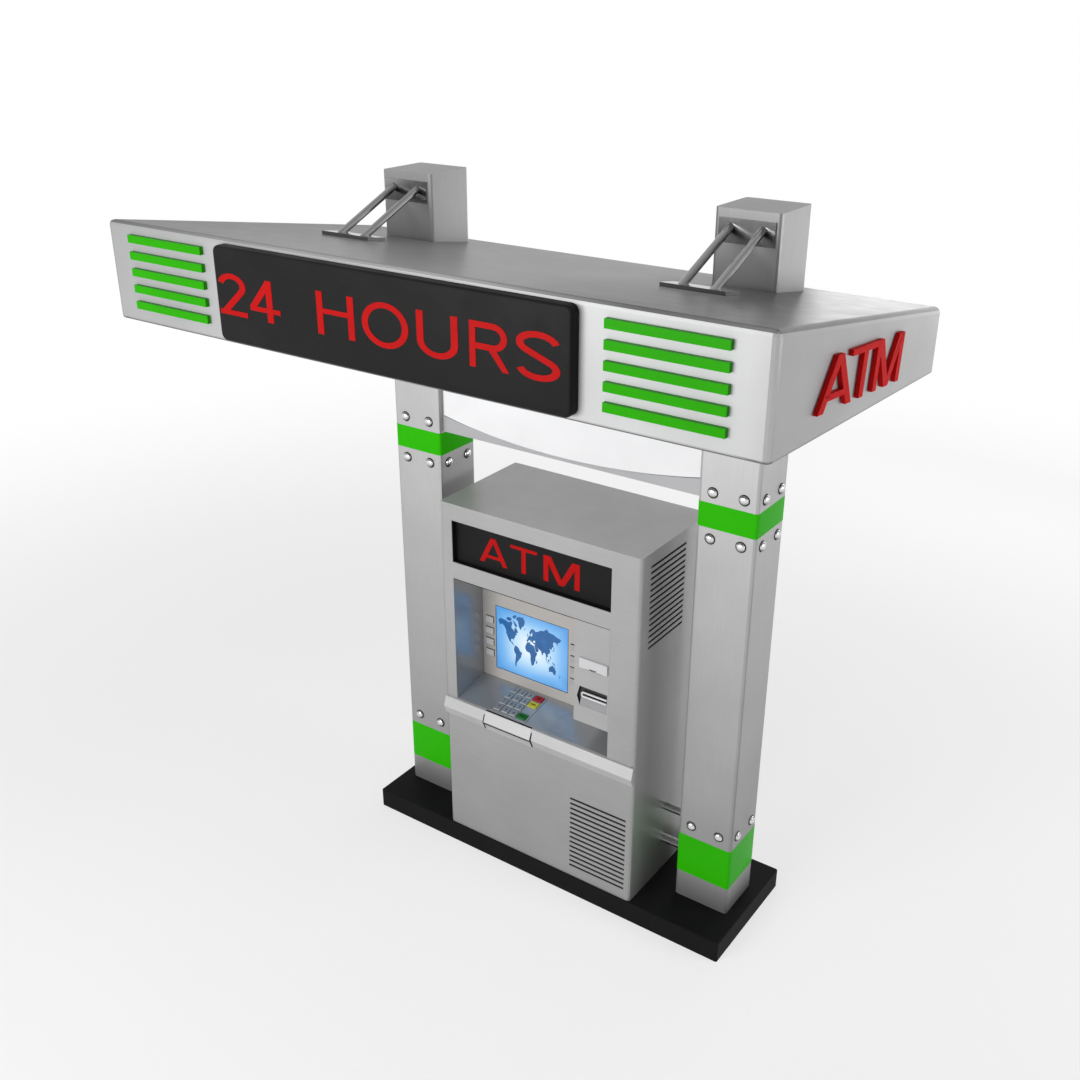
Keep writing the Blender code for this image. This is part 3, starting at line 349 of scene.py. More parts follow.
silver = satin_metal("satin_silver_column", 0.49, UPRIGHT, 0.44, (0.39, 0.53), height_shade=COLUMN_HEIGHT_SHADE,
                     corners=CORNER_GLINT)
cabinet_silver = satin_metal("satin_silver_cabinet", 0.40, LEVEL, 0.45, (0.34, 0.46), height_shade=CABINET_HEIGHT_SHADE)
recess_silver = recess_finish("recess_metal_and_bezel", (0.40, 0.41, 0.42), (0.42, 0.40, 0.38))
module_silver = satin_metal("satin_silver_module", 0.41, LEVEL, 0.35, (0.36, 0.48))
ledge_silver = satin_metal("pale_silver_ledge", 0.46, LEVEL, 0.30, (0.38, 0.50))
key_silver = satin_metal("satin_key_metal", 0.36, ACROSS, 0.35, (0.40, 0.52), (0.96, 1.0, 1.04))
chrome = polished("polished_steel", 0.72)
# the rod frames' steel is darker than the bolts': painted reflection of the dark canopy above them
rod_chrome = polished("rod_steel_dark_reflection", 0.36, (0.12, 0.22))
black = moulded("black_base_paint", (0.0085, 0.0085, 0.009), (0.50, 0.65), 0.0025, 0.0002, **MATT)
canopy_silver = painted("canopy_silver_paint", (0.49, 0.49, 0.495), (0.26, 0.38), 0.10, 0.12, 0.02, FASCIA_SHADE,
                        ROOF_SHADE, **MATT)
soffit_silver = painted("soffit_silver_paint", (0.60, 0.60, 0.61), (0.35, 0.48), 0.1)
banner_white = painted("banner_white_acrylic", (0.82, 0.82, 0.83), (0.20, 0.28), 0.0, 0.12, 0.02)
banner_grey = painted("banner_backing_grey", (0.40, 0.40, 0.41), (0.30, 0.42), 0.3, 0.12)
green = painted("green_gloss_paint", (0.024, 0.35, 0.0012), (0.26, 0.38), dust=0.02, **MATT)
film = painted("green_vinyl_film", (0.026, 0.44, 0.0012), (0.24, 0.34), dust=0.02, **MATT)
pale_grey = painted("printer_pale_grey", (0.58, 0.58, 0.59), (0.28, 0.40), 0.1)
dark = painted("dark_grey_paint", (0.06, 0.06, 0.065), (0.40, 0.55), **SOFT)
inner_grey = painted("module_grey_paint", (0.25, 0.25, 0.26), (0.40, 0.55))
gasket = moulded("black_rubber", (0.012, 0.012, 0.013), (0.60, 0.75), **MATT)
charcoal = moulded("charcoal_plastic", (0.050, 0.051, 0.053), (0.38, 0.50), **SOFT)
cassette_grey = moulded("cassette_plastic", (0.10, 0.10, 0.11))
ink = moulded("key_legend_ink", (0.02, 0.02, 0.025), (0.45, 0.60), **MATT)
paper = moulded("receipt_paper", (0.80, 0.80, 0.77), (0.70, 0.85), 0.0006)
red_key = moulded("red_key_plastic", (0.42, 0.010, 0.016), (0.30, 0.42), **SOFT)
yellow_key = moulded("yellow_key_plastic", (0.62, 0.56, 0.03), (0.30, 0.42), **SOFT)
green_key = moulded("green_key_plastic", (0.008, 0.17, 0.014), (0.30, 0.42), **SOFT)
board = led_face("led_board_face", 0.0075, 0.0024)
small_board = led_face("sign_board_face", 0.0060, 0.0018)
red = lit_letters("red_lit_letters", (0.42, 0.006, 0.006), 0.06)
red_solid = lit_letters("red_painted_letters", (0.60, 0.006, 0.007), 0.0, (0.50, 0.65))

looks = {
    "base_plinth": black, "base_ballast": dark,
    "column_left": silver, "column_right": silver,
    "canopy_shell": canopy_silver, "canopy_soffit": soffit_silver, "canopy_frame": inner_grey,
    "grille_left": green, "grille_right": green,
    "rod_frame_left": rod_chrome, "rod_frame_right": rod_chrome, "banner_panel": banner_white,
    "cabinet_tie_left": chrome, "cabinet_tie_right": chrome,
    "safe_body": dark, "safe_door": dark, "safe_handle": chrome, "service_handle": chrome,
    "cash_cassette": cassette_grey, "cash_dispenser": dark, "computer": inner_grey,
    "recess_surround": recess_silver, "service_module": module_silver, "receipt_printer": pale_grey,
    "card_reader": charcoal, "paper_roll": paper, "ledge_rail": ledge_silver, "cash_flap": ledge_silver,
    "atm_sign_box": small_board, "led_sign": board, "keypad_frame": recess_silver,
    "key_cancel": red_key, "key_clear": yellow_key, "key_enter": green_key,
}


def paint(name, look):
    """Give a CAD node its look."""
    slots = nodes[name].data.materials
    slots.clear()
    slots.append(look)


for name in nodes:
    if name.startswith("key_"):
        look = looks.get(name, key_silver)
    elif name.startswith("fdk_"):
        look = pale_grey if "left" in name else module_silver
    else:
        look = looks.get(name, cabinet_silver)
    paint(name, look)


# ---- mesh helpers
def in_scene(name, data):
    """A new object of the scene that holds the data."""
    item = bpy.data.objects.new(name, data)
    bpy.context.scene.collection.objects.link(item)
    return item


def piece(name, bm, look, body=ROOT, crease=30, flat_over=1.0):
    """A named mesh that rides on a body and takes its finish from a material slot.

    Edges sharper than crease degrees stay sharp, and faces over flat_over square metres flat.
    """
    bmesh.ops.recalc_face_normals(bm, faces=bm.faces)
    mesh = bpy.data.meshes.new(name)
    bm.to_mesh(mesh)
    bm.free()
    mesh.shade_smooth()
    mesh.set_sharp_from_angle(angle=math.radians(crease))
    for face in mesh.polygons:
        face.use_smooth = face.area < flat_over
    mesh.materials.append(look)
    item = in_scene(name, mesh)
    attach(item, body)
    return item


def add_box(bm, low, high):
    low, high = Vector(low), Vector(high)
    place = Matrix.Translation((low + high) / 2) @ Matrix.Diagonal((*(high - low), 1))
    return bmesh.ops.create_cube(bm, size=1.0, matrix=place)["verts"]


def box_piece(name, low, high, look):
    """A thin strip, slit or baffle."""
    bm = bmesh.new()
    add_box(bm, low, high)
    piece(name, bm, look)


def add_loops(bm, loops, closed_path=False, caps=True):
    """Skin a row of point loops of equal length into a tube; closed_path joins the last to the first."""
    rings = [[bm.verts.new(p) for p in loop] for loop in loops]
    pairs = list(zip(rings, rings[1:])) + ([(rings[-1], rings[0])] if closed_path else [])
    for a, b in pairs:
        for i in range(len(a)):
            j = (i + 1) % len(a)
            bm.faces.new((a[i], a[j], b[j], b[i]))
    if caps and not closed_path:
        bm.faces.new(rings[0][::-1])
        bm.faces.new(rings[-1])


def prism(points, place, low, high, bm):
    """A flat outline in a plane's own axes, thickened from low to high along its normal."""
    add_loops(bm, [[place @ Vector((u, v, h)) for u, v in points] for h in (low, high)])


def arc(cx, cy, rx, ry, start, stop, steps=16):
    """Points on an ellipse's arc, angles in degrees."""
    angles = [math.radians(start + (stop - start) * i / steps) for i in range(steps + 1)]
    return [(cx + rx * math.cos(a), cy + ry * math.sin(a)) for a in angles]


def rounded(x0, x1, y0, y1, radius, steps=6):
    """A rounded rectangle's outline."""
    corners = ((x1 - radius, y0 + radius, -90), (x1 - radius, y1 - radius, 0),
               (x0 + radius, y1 - radius, 90), (x0 + radius, y0 + radius, 180))
    return [p for cx, cy, a in corners for p in arc(cx, cy, radius, radius, a, a + 90, steps)]


def ring(outer, inner, place, low, high, bm=None):
    """A flat frame between two outlines with as many points each."""
    bm = bm or bmesh.new()
    sections = [[place @ Vector((*a, low)), place @ Vector((*a, high)), place @ Vector((*b, high)),
                 place @ Vector((*b, low))] for a, b in zip(outer, inner)]
    add_loops(bm, sections, closed_path=True)
    return bm


def facing(normal, across, origin):
    """A plane's matrix: u runs across, v up the plane, h out along the normal."""
    normal, across = Vector(normal).normalized(), Vector(across).normalized()
    up = normal.cross(across)
    turn = Matrix((across, up, normal)).transposed().to_4x4()
    return Matrix.Translation(origin) @ turn


def front_plane(y):
    return facing((0, -1, 0), (1, 0, 0), (0, y, 0))


def lathe(bm, profile, place, segments=24):
    """Turn a profile of (radius, height) about a plane's normal."""
    loops = []
    for i in range(segments):
        a = 2 * math.pi * i / segments
        loops.append([place @ Vector((r * math.cos(a), r * math.sin(a), h)) for r, h in profile])
    rings = [[bm.verts.new(p) for p in loop] for loop in loops]
    for a, b in zip(rings, rings[1:] + rings[:1]):
        for i in range(len(profile) - 1):
            bm.faces.new((a[i], a[i + 1], b[i + 1], b[i]))
    bm.faces.new([r[0] for r in rings][::-1])
    bm.faces.new([r[-1] for r in rings])


# ---- letters
PEN = 0.13                        # stroke width of a letter one unit tall


def slab(x0, x1, y0, y1):
    return [(x0, y0), (x1, y0), (x1, y1), (x0, y1)]


def stroke(points, closed=False):
    """The two sides of a pen stroke along points, with mitred corners."""
    points = [Vector(p) for p in points]
    count = len(points)
    left, right = [], []
    for i, p in enumerate(points):
        before = p - points[i - 1] if closed or i else points[1] - p
        after = points[(i + 1) % count] - p if closed or i < count - 1 else before
        way = (before.normalized() + after.normalized()).normalized()
        side = Vector((-way.y, way.x)) * (PEN / 2 / way.dot(after.normalized()))
        left.append(p + side)
        right.append(p - side)
    return left, right


def glyph(letter):
    """Width, then the outlines and rings that make up a letter one unit tall."""
    half = PEN / 2
    if letter == "A":
        w = 0.93
        leg = [(0, 0), (0.155, 0), (w / 2 + 0.07, 1), (w / 2 - 0.085, 1)]
        return w, [leg, [(w - x, y) for x, y in reversed(leg)], slab(0.15, w - 0.15, 0.20, 0.32)], []
    if letter == "T":
        w = 0.81
        return w, [slab(0, w, 1 - 0.12, 1), slab(w / 2 - half, w / 2 + half, 0, 0.95)], []
    if letter == "M":
        w = 0.95
        vee = [(0.02, 1), (w / 2 - 0.075, 0), (w / 2 + 0.075, 0), (0.195, 1)]
        return w, [slab(0, PEN, 0, 1), slab(w - PEN, w, 0, 1), vee,
                   [(w - x, y) for x, y in reversed(vee)]], []
    if letter == "H":
        w = 0.78
        return w, [slab(0, PEN, 0, 1), slab(w - PEN, w, 0, 1), slab(half, w - half, 0.50, 0.615)], []
    if letter == "4":
        w = 0.66
        return w, [slab(0.37, 0.37 + PEN, 0, 1), slab(0, w, 0.225, 0.34),
                   [(0, 0.26), (0.13, 0.30), (0.5, 0.93), (0.5, 1), (0.385, 1), (0, 0.34)]], []
    if letter == "U":
        w = 0.78
        path = [(half, 1)] + arc(w / 2, 0.36, w / 2 - half, 0.36 - half, 180, 360) + [(w - half, 1)]
        return w, [], [(stroke(path), False)]
    if letter == "O":
        w = 0.97
        path = arc(w / 2, 0.5, w / 2 - half, 0.515 - half, 0, 360 - 360 / 40, 39)
        return w, [], [(stroke(path, True), True)]
    if letter == "R":
        w = 0.84
        bowl = [(half, 1 - half)] + arc(0.50, 0.705, 0.235, 0.23, 90, -90) + [(half, 0.475)]
        leg = [(0.37, 0.47), (0.70, 0), (w, 0), (0.53, 0.50)]
        return w, [slab(0, PEN, 0, 1), leg], [(stroke(bowl), False)]
    if letter == "S":
        w = 0.76
        rx, ry = w / 2 - half, 0.2625 - half
        path = arc(w / 2, 0.7525, rx, ry, 12, 235) + arc(w / 2, 0.2475, rx, ry, 55, -168)
        return w, [], [(stroke(path), False)]
    w = 0.62                      # "2"
    rx, ry = w / 2 - half, 0.29 - half
    path = arc(w / 2, 0.725, rx, ry, 170, -35) + [(half + 0.045, 0.08)]
    return w, [slab(0, w, 0, 0.12), [(0, 0), (0.16, 0), (0.16, 0.12), (0, 0.09)]], [(stroke(path), False)]


def united(solids):
    """One mesh from overlapping closed solids."""
    items = []
    for bm in solids:
        bmesh.ops.recalc_face_normals(bm, faces=bm.faces)
        mesh = bpy.data.meshes.new("solid")
        bm.to_mesh(mesh)
        bm.free()
        items.append(in_scene("solid", mesh))
    for other in items[1:]:
        boolean = items[0].modifiers.new("union", "BOOLEAN")
        boolean.operation = "UNION"
        boolean.solver = "EXACT"
        boolean.object = other
    bm = bmesh.new()
    joined = items[0].evaluated_get(bpy.context.evaluated_depsgraph_get())
    bm.from_mesh(joined.to_mesh())
    for item in items:
        bpy.data.objects.remove(item, do_unlink=True)
    return bm


def letter_solid(letter, place, u0, u1, v0, height, low, high):
    """A letter fitted between u0 and u1, standing on v0."""
    width, outlines, strokes = glyph(letter)

    def spot(p, h):
        return place @ Vector((u0 + p[0] * (u1 - u0) / width, v0 + p[1] * height, h))

    solids = []
    for points in outlines:
        bm = bmesh.new()
        add_loops(bm, [[spot(p, h) for p in points] for h in (low, high)])
        solids.append(bm)
    for (left, right), closed in strokes:
        bm = bmesh.new()
        add_loops(bm, [[spot(a, low), spot(a, high), spot(b, high), spot(b, low)]
                       for a, b in zip(left, right)], closed_path=closed)
        solids.append(bm)
    return united(solids)


def word(stem, letters, place, v0, height, low, high, look):
    for i, (letter, u0, u1) in enumerate(letters):
        bm = letter_solid(letter, place, u0, u1, v0, height, low, high)
        piece(f"{stem}_{i + 1}", bm, look)


# ---- sign board
EDGE_STEPS = 4


def soft_plate(name, node, look, radius, edge):
    """A plate of rounded outline whose front edge is rounded over, in place of a CAD node."""
    low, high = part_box(node)
    loops = []
    for i in range(EDGE_STEPS + 1):
        a = math.pi / 2 * i / EDGE_STEPS
        inset, y = edge * (1 - math.sin(a)), low.y + edge * (1 - math.cos(a))
        loops.append([(x, y, z) for x, z in rounded(low.x + inset, high.x - inset, low.z + inset,
                                                    high.z - inset, radius - inset)])
    loops.append([(x, high.y, z) for x, z in rounded(low.x, high.x, low.z, high.z, radius)])
    bm = bmesh.new()
    add_loops(bm, loops)
    made = piece(name, bm, look)
    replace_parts(made, node)


SIGN_CORNER, SIGN_EDGE = 0.022, 0.008
soft_plate("led_board", "led_sign", board, SIGN_CORNER, SIGN_EDGE)
sign_face = front_plane(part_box("led_sign")[0].y)
LED_BASE, LED_CAP, LED_THICK = 2.3205, 0.1210, 0.0012
word("led_word", (("2", -0.6150, -0.5000), ("4", -0.4860, -0.3630), ("H", -0.2172, -0.0780),
                  ("O", -0.0495, 0.1150), ("U", 0.1438, 0.2816), ("R", 0.3188, 0.4445),
                  ("S", 0.4655, 0.5990)), sign_face, LED_BASE, LED_CAP, 0.0, LED_THICK, red)

# ---- sign in the cabinet
cabinet_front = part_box("front_fascia")[0].y
SIGN_SET_BACK = 0.026             # the sign's face behind the cabinet's front
small_face = front_plane(cabinet_front + SIGN_SET_BACK)
word("cabinet_word", (("A", -0.2660, -0.1410), ("T", -0.1275, -0.0120), ("M", 0.0160, 0.1672)),
     small_face, 1.3008, 0.1000, 0.0, LED_THICK, red)

# ---- canopy's lower hem
shell_low, shell_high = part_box("canopy_shell")
CANOPY_FRONT, CANOPY_BACK = -0.947, 0.249
END_FRONT_HALF, END_BACK_HALF = 1.148, 1.128      # canopy's half width at its front and back edge
SOFFIT_FRONT, SOFFIT_BACK = 2.219, 2.135          # underside's height there
CANOPY_ROUND, HEM, HEM_STEPS = 0.018, 0.010, 4
FLAT_FACE = 0.0008                                # roundings have only smaller faces than this


def share_back(y):
    return (y - CANOPY_FRONT) / (CANOPY_BACK - CANOPY_FRONT)


def soffit_z(y):
    return SOFFIT_FRONT + (SOFFIT_BACK - SOFFIT_FRONT) * share_back(y)


def drawn_in(p, amount):
    """A point of the canopy's rim moved towards its middle, square to the nearest wall or corner."""
    half = END_FRONT_HALF + (END_BACK_HALF - END_FRONT_HALF) * share_back(p.y) - CANOPY_ROUND
    core = Vector((min(max(p.x, -half), half),
                   min(max(p.y, CANOPY_FRONT + CANOPY_ROUND), CANOPY_BACK - CANOPY_ROUND), p.z))
    return core + (p - core) * (1 - amount / CANOPY_ROUND) if (p - core).length > 0.001 else p


def cad_mesh(node):
    bm = bmesh.new()
    bm.from_mesh(nodes[node].data)
    return bm


hem = cad_mesh("canopy_shell")
fall = Vector((0, (SOFFIT_FRONT - SOFFIT_BACK) / (CANOPY_BACK - CANOPY_FRONT), 1)).normalized()
angles = [math.pi / 2 * i / HEM_STEPS for i in range(HEM_STEPS)]
for a in angles:
    bmesh.ops.bisect_plane(hem, geom=hem.verts[:] + hem.edges[:] + hem.faces[:], dist=0.000001, plane_no=fall,
                           plane_co=(0, CANOPY_FRONT, SOFFIT_FRONT + HEM * (1 - math.sin(a))))
for v in hem.verts:
    up = v.co.z - soffit_z(v.co.y)
    if up < HEM - 0.00001:
        v.co = drawn_in(v.co, HEM - math.sqrt(max(HEM ** 2 - (HEM - up) ** 2, 0)))
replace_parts(piece("canopy_skin", hem, canopy_silver, crease=35,
                  flat_over=FLAT_FACE), "canopy_shell")
under = cad_mesh("canopy_soffit")
SOFFIT_GAP = 0.0033                               # soffit's own inset from the canopy's outline
for v in under.verts:
    v.co = drawn_in(v.co, (HEM - SOFFIT_GAP + 0.0005) * CANOPY_ROUND / (CANOPY_ROUND - SOFFIT_GAP))
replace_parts(piece("canopy_underside", under, soffit_silver), "canopy_soffit")

# ---- raised letters on the ends
END_START, END_BASE = -0.717, 2.2755              # first letter's foot, Y and Z
END_TILT = math.radians(6.1)                      # the words follow the canopy's middle line
END_CAP, END_GAP, END_THICK = 0.136, 0.002, 0.012
END_WORD = (("A", 0.0, 0.2230), ("T", 0.1935, 0.3900), ("M", 0.3780, 0.5870))
for label, side in (("right", 1), ("left", -1)):
    run = shell_high.y - shell_low.y
    along = Vector((-side * (END_FRONT_HALF - END_BACK_HALF), run, 0)).normalized()
    out = Vector((side * run, END_FRONT_HALF - END_BACK_HALF, 0)).normalized()
    start_y, foot_z = END_START, END_BASE
    if side < 0:
        start_y += END_WORD[-1][2] * math.cos(END_TILT)
        foot_z -= END_WORD[-1][2] * math.sin(END_TILT)
    foot = Vector((side * END_FRONT_HALF, shell_low.y, 0)) + along * ((start_y - shell_low.y) / along.y)
    foot.z = foot_z
    across = along * side * math.cos(END_TILT) - Vector((0, 0, side * math.sin(END_TILT)))
    place = facing(out, across, foot)
    word(f"end_word_{label}", END_WORD, place, 0.0, END_CAP, END_GAP, END_GAP + END_THICK, red_solid)

# ---- bands and bolts on columns
BAND_Z = {"lower": (0.196, 0.365), "upper": (1.605, 1.692)}
FILM, CORNER = 0.0004, 0.010
BOLT_ROWS, BOLT_SPACING = (0.413, 1.567, 1.729), 0.111
BOLT_R, BOLT_TALL = 0.0170, 0.0115
WASHER_R, WASHER_T = 0.0196, 0.0012
COLUMN_WALL, LINER_WALL = 0.0053, 0.004
AS_DRAWN = Matrix.Identity(4)

dome = arc(0, 0.0030, BOLT_R - 0.0002, BOLT_TALL - 0.0030, 88, 0, 8)
bolt_profile = dome + [(BOLT_R, 0.0022), (BOLT_R - 0.0006, WASHER_T), (0.005, WASHER_T), (0.005, -0.0072)]
washer_profile = [(0.0062, WASHER_T), (WASHER_R - 0.0004, WASHER_T), (WASHER_R, WASHER_T * 0.6),
                  (WASHER_R, LIFT), (0.0062, LIFT)]


def bolt_planes(low, high):
    """A plane on each bolt's seat, on the four faces of a column."""
    middle, half = (low + high) / 2, (high - low) / 2
    for z in BOLT_ROWS:
        for step in (-BOLT_SPACING / 2, BOLT_SPACING / 2):
            for way in (-1, 1):
                yield facing((0, way, 0), (-way, 0, 0), (middle.x + step, middle.y + way * half.y, z))
                yield facing((way, 0, 0), (0, way, 0), (middle.x + way * half.x, middle.y + step, z))


def band_outline(low, high, grow):
    return rounded(low.x - grow, high.x + grow, low.y - grow, high.y + grow, CORNER + grow)


for label in ("left", "right"):
    low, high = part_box(f"column_{label}")
    for which, (z0, z1) in BAND_Z.items():
        piece(f"band_{label}_{which}", ring(band_outline(low, high, FILM), band_outline(low, high, -LIFT),
                                            AS_DRAWN, z0, z1), film)
    bolts, washers = bmesh.new(), bmesh.new()
    for place in bolt_planes(low, high):
        lathe(bolts, bolt_profile, place)
        lathe(washers, washer_profile, place)
    lined_low, lined_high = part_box(f"column_liner_{label}")
    ring(band_outline(low, high, -COLUMN_WALL), band_outline(low, high, -COLUMN_WALL - LINER_WALL), AS_DRAWN,
         lined_low.z, lined_high.z, bolts)
    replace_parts(piece(f"column_bolts_{label}", bolts, chrome, crease=40),
                f"column_liner_{label}")
    # black washers under the bolts, which also paint the dark rim of reflection round each chrome dome
    piece(f"bolt_washers_dark_rim_{label}", washers, gasket, crease=40)

# ---- the banner
BANNER_FACE, LENS_HALF, LENS_PROUD, LENS_RADIUS = -0.0735, 0.530, 0.010, 2.80
LENS_LOW, LENS_TALL, LENS_STEPS, LENS_SHADOW_DROP = 1.711, 0.432, 32, 0.0030
banner_low, banner_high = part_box("banner_panel")
sheet, lens, rim = bmesh.new(), [], []
sheet_box = add_box(sheet, (banner_low.x, BANNER_FACE, banner_low.z), banner_high)
for v in sheet_box:
    if v.co.z > LENS_LOW:
        v.co.z = soffit_z(v.co.y) - 0.0003
for i in range(LENS_STEPS + 1):
    x = LENS_HALF * (2 * i / LENS_STEPS - 1)
    rise = x * x / (2 * LENS_RADIUS)
    proud = 0.0008 + LENS_PROUD * (1 - (x / LENS_HALF) ** 4)
    low, high = LENS_LOW + rise, LENS_LOW + LENS_TALL - rise
    soft = proud * 0.4
    lens.append([(x, BANNER_FACE + 0.001, low), (x, BANNER_FACE - proud + soft, low),
                 (x, BANNER_FACE - proud, low + soft), (x, BANNER_FACE - proud, high),
                 (x, BANNER_FACE + 0.001, high)])
    # a dark strip along the lens's lower edge: painted shadow of the lens on the backing
    rim.append([(x, BANNER_FACE + 0.001, low - LENS_SHADOW_DROP), (x, BANNER_FACE - 0.0006, low - LENS_SHADOW_DROP),
                (x, BANNER_FACE - 0.0006, low + 0.0005), (x, BANNER_FACE + 0.001, low + 0.0005)])
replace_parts(piece("banner_sheet", sheet, banner_grey), "banner_panel")
for name, loops, look in (("banner_lens", lens, banner_white), ("banner_lens_shadow", rim, dark)):
    bm = bmesh.new()
    add_loops(bm, loops)
    piece(name, bm, look)

# ---- the display
SCREEN_X, SCREEN_Z = (-0.3096, 0.0237), (0.7646, 1.0375)
PANEL_BEHIND = 0.0012             # the glass lies this far behind the bezel's face
screen_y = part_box("display_screen")[0].y
screen_half = ((SCREEN_X[1] - SCREEN_X[0]) / 2, (SCREEN_Z[1] - SCREEN_Z[0]) / 2)

s = Shade("lit_screen", roughness=0.18)
x, _, z = s.axes()
u = s.math("DIVIDE", s.math("SUBTRACT", x, sum(SCREEN_X) / 2), screen_half[0])
v = s.math("DIVIDE", s.math("SUBTRACT", z, sum(SCREEN_Z) / 2), screen_half[1])
square_away = s.math("MAXIMUM", s.math("ABSOLUTE", u), s.math("ABSOLUTE", v))
round_away = s.math("SQRT", s.math("ADD", s.math("MULTIPLY", u, u), s.math("MULTIPLY", v, v)))
fade = s.math("MULTIPLY_ADD", square_away, 0.55, s.math("MULTIPLY", round_away, 0.36))
sky = s.ramp(fade, (0.14, (0.84, 0.94, 1.0)), (0.45, (0.52, 0.77, 0.97)), (0.75, (0.20, 0.50, 0.90)),
             (0.98, (0.09, 0.35, 0.78)))
sky = s.times(sky, s.tones(s.noise(0.0012, 1), 0.96, 1.0))
s.set("Base Color", (0.02, 0.03, 0.05, 1.0))
s.set("Emission Color", s.mix(s.math("LESS_THAN", s.normal()[1], -0.9), (0, 0, 0), sky))
s.set("Emission Strength", 0.95)
paint("display_screen", s.mat)

s = Shade("lit_map", roughness=0.18)
s.set("Base Color", (0.01, 0.02, 0.04, 1.0))
s.set("Emission Color", s.ramp(s.noise(0.03, 2), (0.3, (0.004, 0.085, 0.27)), (0.7, (0.009, 0.115, 0.34))))
s.set("Emission Strength", 1.0)
map_ink = s.mat

# coasts drawn as longitude and latitude, with only the points the shape needs
LAND = {
    "north_america": ((-168, 66), (-156, 71), (-128, 70), (-110, 68), (-95, 72), (-88, 68), (-94, 61),
        (-92, 57), (-82, 55), (-79, 51), (-77, 59), (-73, 62), (-64, 59), (-56, 52), (-66, 50), (-64, 45),
        (-70, 43), (-76, 35), (-81, 31), (-80, 25), (-84, 30), (-97, 28), (-97, 20), (-91, 18), (-87, 21),
        (-88, 16), (-83, 14), (-82, 9), (-77, 8), (-85, 11), (-95, 16), (-105, 20), (-112, 27), (-117, 33),
        (-124, 41), (-124, 48), (-134, 57), (-147, 61), (-158, 57), (-162, 60)),
    "arctic_islands": ((-124, 74), (-112, 77), (-96, 77), (-92, 74), (-104, 71), (-116, 71)),
    "baffin": ((-89, 73), (-74, 72), (-62, 67), (-66, 62), (-76, 65), (-80, 70)),
    "ellesmere": ((-90, 79), (-74, 83), (-63, 82), (-77, 77)),
    "greenland": ((-70, 78), (-56, 82), (-28, 83), (-18, 78), (-23, 71), (-36, 66), (-43, 60), (-52, 66),
        (-56, 75)),
    "south_america": ((-77, 8), (-71, 12), (-61, 10), (-51, 4), (-48, -1), (-35, -6), (-39, -15), (-42, -23),
        (-48, -27), (-57, -36), (-65, -42), (-68, -52), (-72, -54), (-75, -47), (-72, -30), (-70, -18),
        (-77, -12), (-81, -5), (-79, 2)),
    "africa": ((-6, 35), (10, 37), (12, 33), (32, 31), (37, 21), (43, 12), (51, 12), (46, 3), (40, -5),
        (40, -15), (35, -22), (31, -30), (25, -34), (18, -34), (12, -17), (13, -6), (9, 4), (-5, 5), (-10, 6),
        (-17, 14), (-16, 22), (-9, 31)),
    "madagascar": ((44, -17), (49, -12), (50, -17), (46, -26), (43, -23)),
    "eurasia": ((-9, 37), (-9, 43), (-2, 43), (-4, 48), (3, 51), (8, 57), (12, 54), (21, 55), (24, 59),
        (22, 63), (25, 65), (17, 61), (15, 56), (10, 59), (5, 60), (14, 68), (27, 71), (41, 67), (54, 69),
        (70, 73), (82, 73), (103, 78), (114, 74), (140, 73), (160, 70), (180, 68), (174, 62), (163, 60),
        (159, 52), (155, 58), (141, 59), (136, 54), (140, 48), (131, 43), (127, 35), (122, 39), (118, 38),
        (122, 31), (117, 23), (108, 21), (109, 12), (104, 10), (102, 13), (103, 2), (98, 8), (97, 16),
        (91, 22), (85, 19), (80, 14), (77, 8), (72, 20), (66, 25), (57, 26), (49, 30), (55, 25), (59, 22),
        (53, 16), (44, 13), (38, 22), (35, 31), (36, 36), (27, 37), (28, 40.5), (40, 41), (38, 46), (30, 46),
        (26, 41), (22, 37), (19, 42), (13, 45), (18, 40), (15, 38), (9, 44), (3, 42), (-1, 37)),
    "britain": ((-5, 50), (1, 52), (-3, 58), (-6, 57), (-4, 54)),
    "iceland": ((-24, 65), (-15, 66), (-18, 63)),
    "japan": ((130, 32), (140, 35), (145, 44), (141, 45), (139, 38)),
    "philippines": ((120, 18), (123, 17), (127, 7), (122, 8)),
    "sumatra": ((95, 5), (98, 4), (106, -4), (104, -6)),
    "borneo": ((109, 1), (117, 7), (117, -3), (110, -3)),
    "java": ((105, -6), (115, -8), (115, -9), (106, -8)),
    "new_guinea": ((131, -1), (142, -3), (151, -10), (139, -8)),
    "australia": ((114, -22), (123, -17), (131, -12), (137, -12), (140, -17), (143, -11), (147, -19),
        (153, -26), (150, -38), (140, -38), (134, -32), (124, -33), (115, -35)),
    "new_zealand": ((173, -35), (178, -38), (168, -46), (172, -40)),
}
MAP_WEST, MAP_SPAN, MAP_NORTH, MAP_SOUTH = -168, 348, 83, -55
MAP_ACROSS, MAP_UP = (0.030, 0.905), (0.105, 0.945)     # the map's share of the screen


def miller(latitude):
    """Height on the map of a latitude, in radians at the equator's scale."""
    return 1.25 * math.asinh(math.tan(0.8 * math.radians(latitude)))


def on_screen(place):
    longitude, latitude = place
    share_x = (longitude - MAP_WEST) / MAP_SPAN
    share_z = (miller(latitude) - miller(MAP_SOUTH)) / (miller(MAP_NORTH) - miller(MAP_SOUTH))
    across = MAP_ACROSS[0] + (MAP_ACROSS[1] - MAP_ACROSS[0]) * share_x
    up = MAP_UP[0] + (MAP_UP[1] - MAP_UP[0]) * share_z
    return (SCREEN_X[0] + across * 2 * screen_half[0], SCREEN_Z[0] + up * 2 * screen_half[1])


land = bmesh.new()
for coast in LAND.values():
    prism([on_screen(p) for p in coast], front_plane(screen_y), LIFT * 0.3, LIFT, land)
piece("screen_map", land, map_ink)

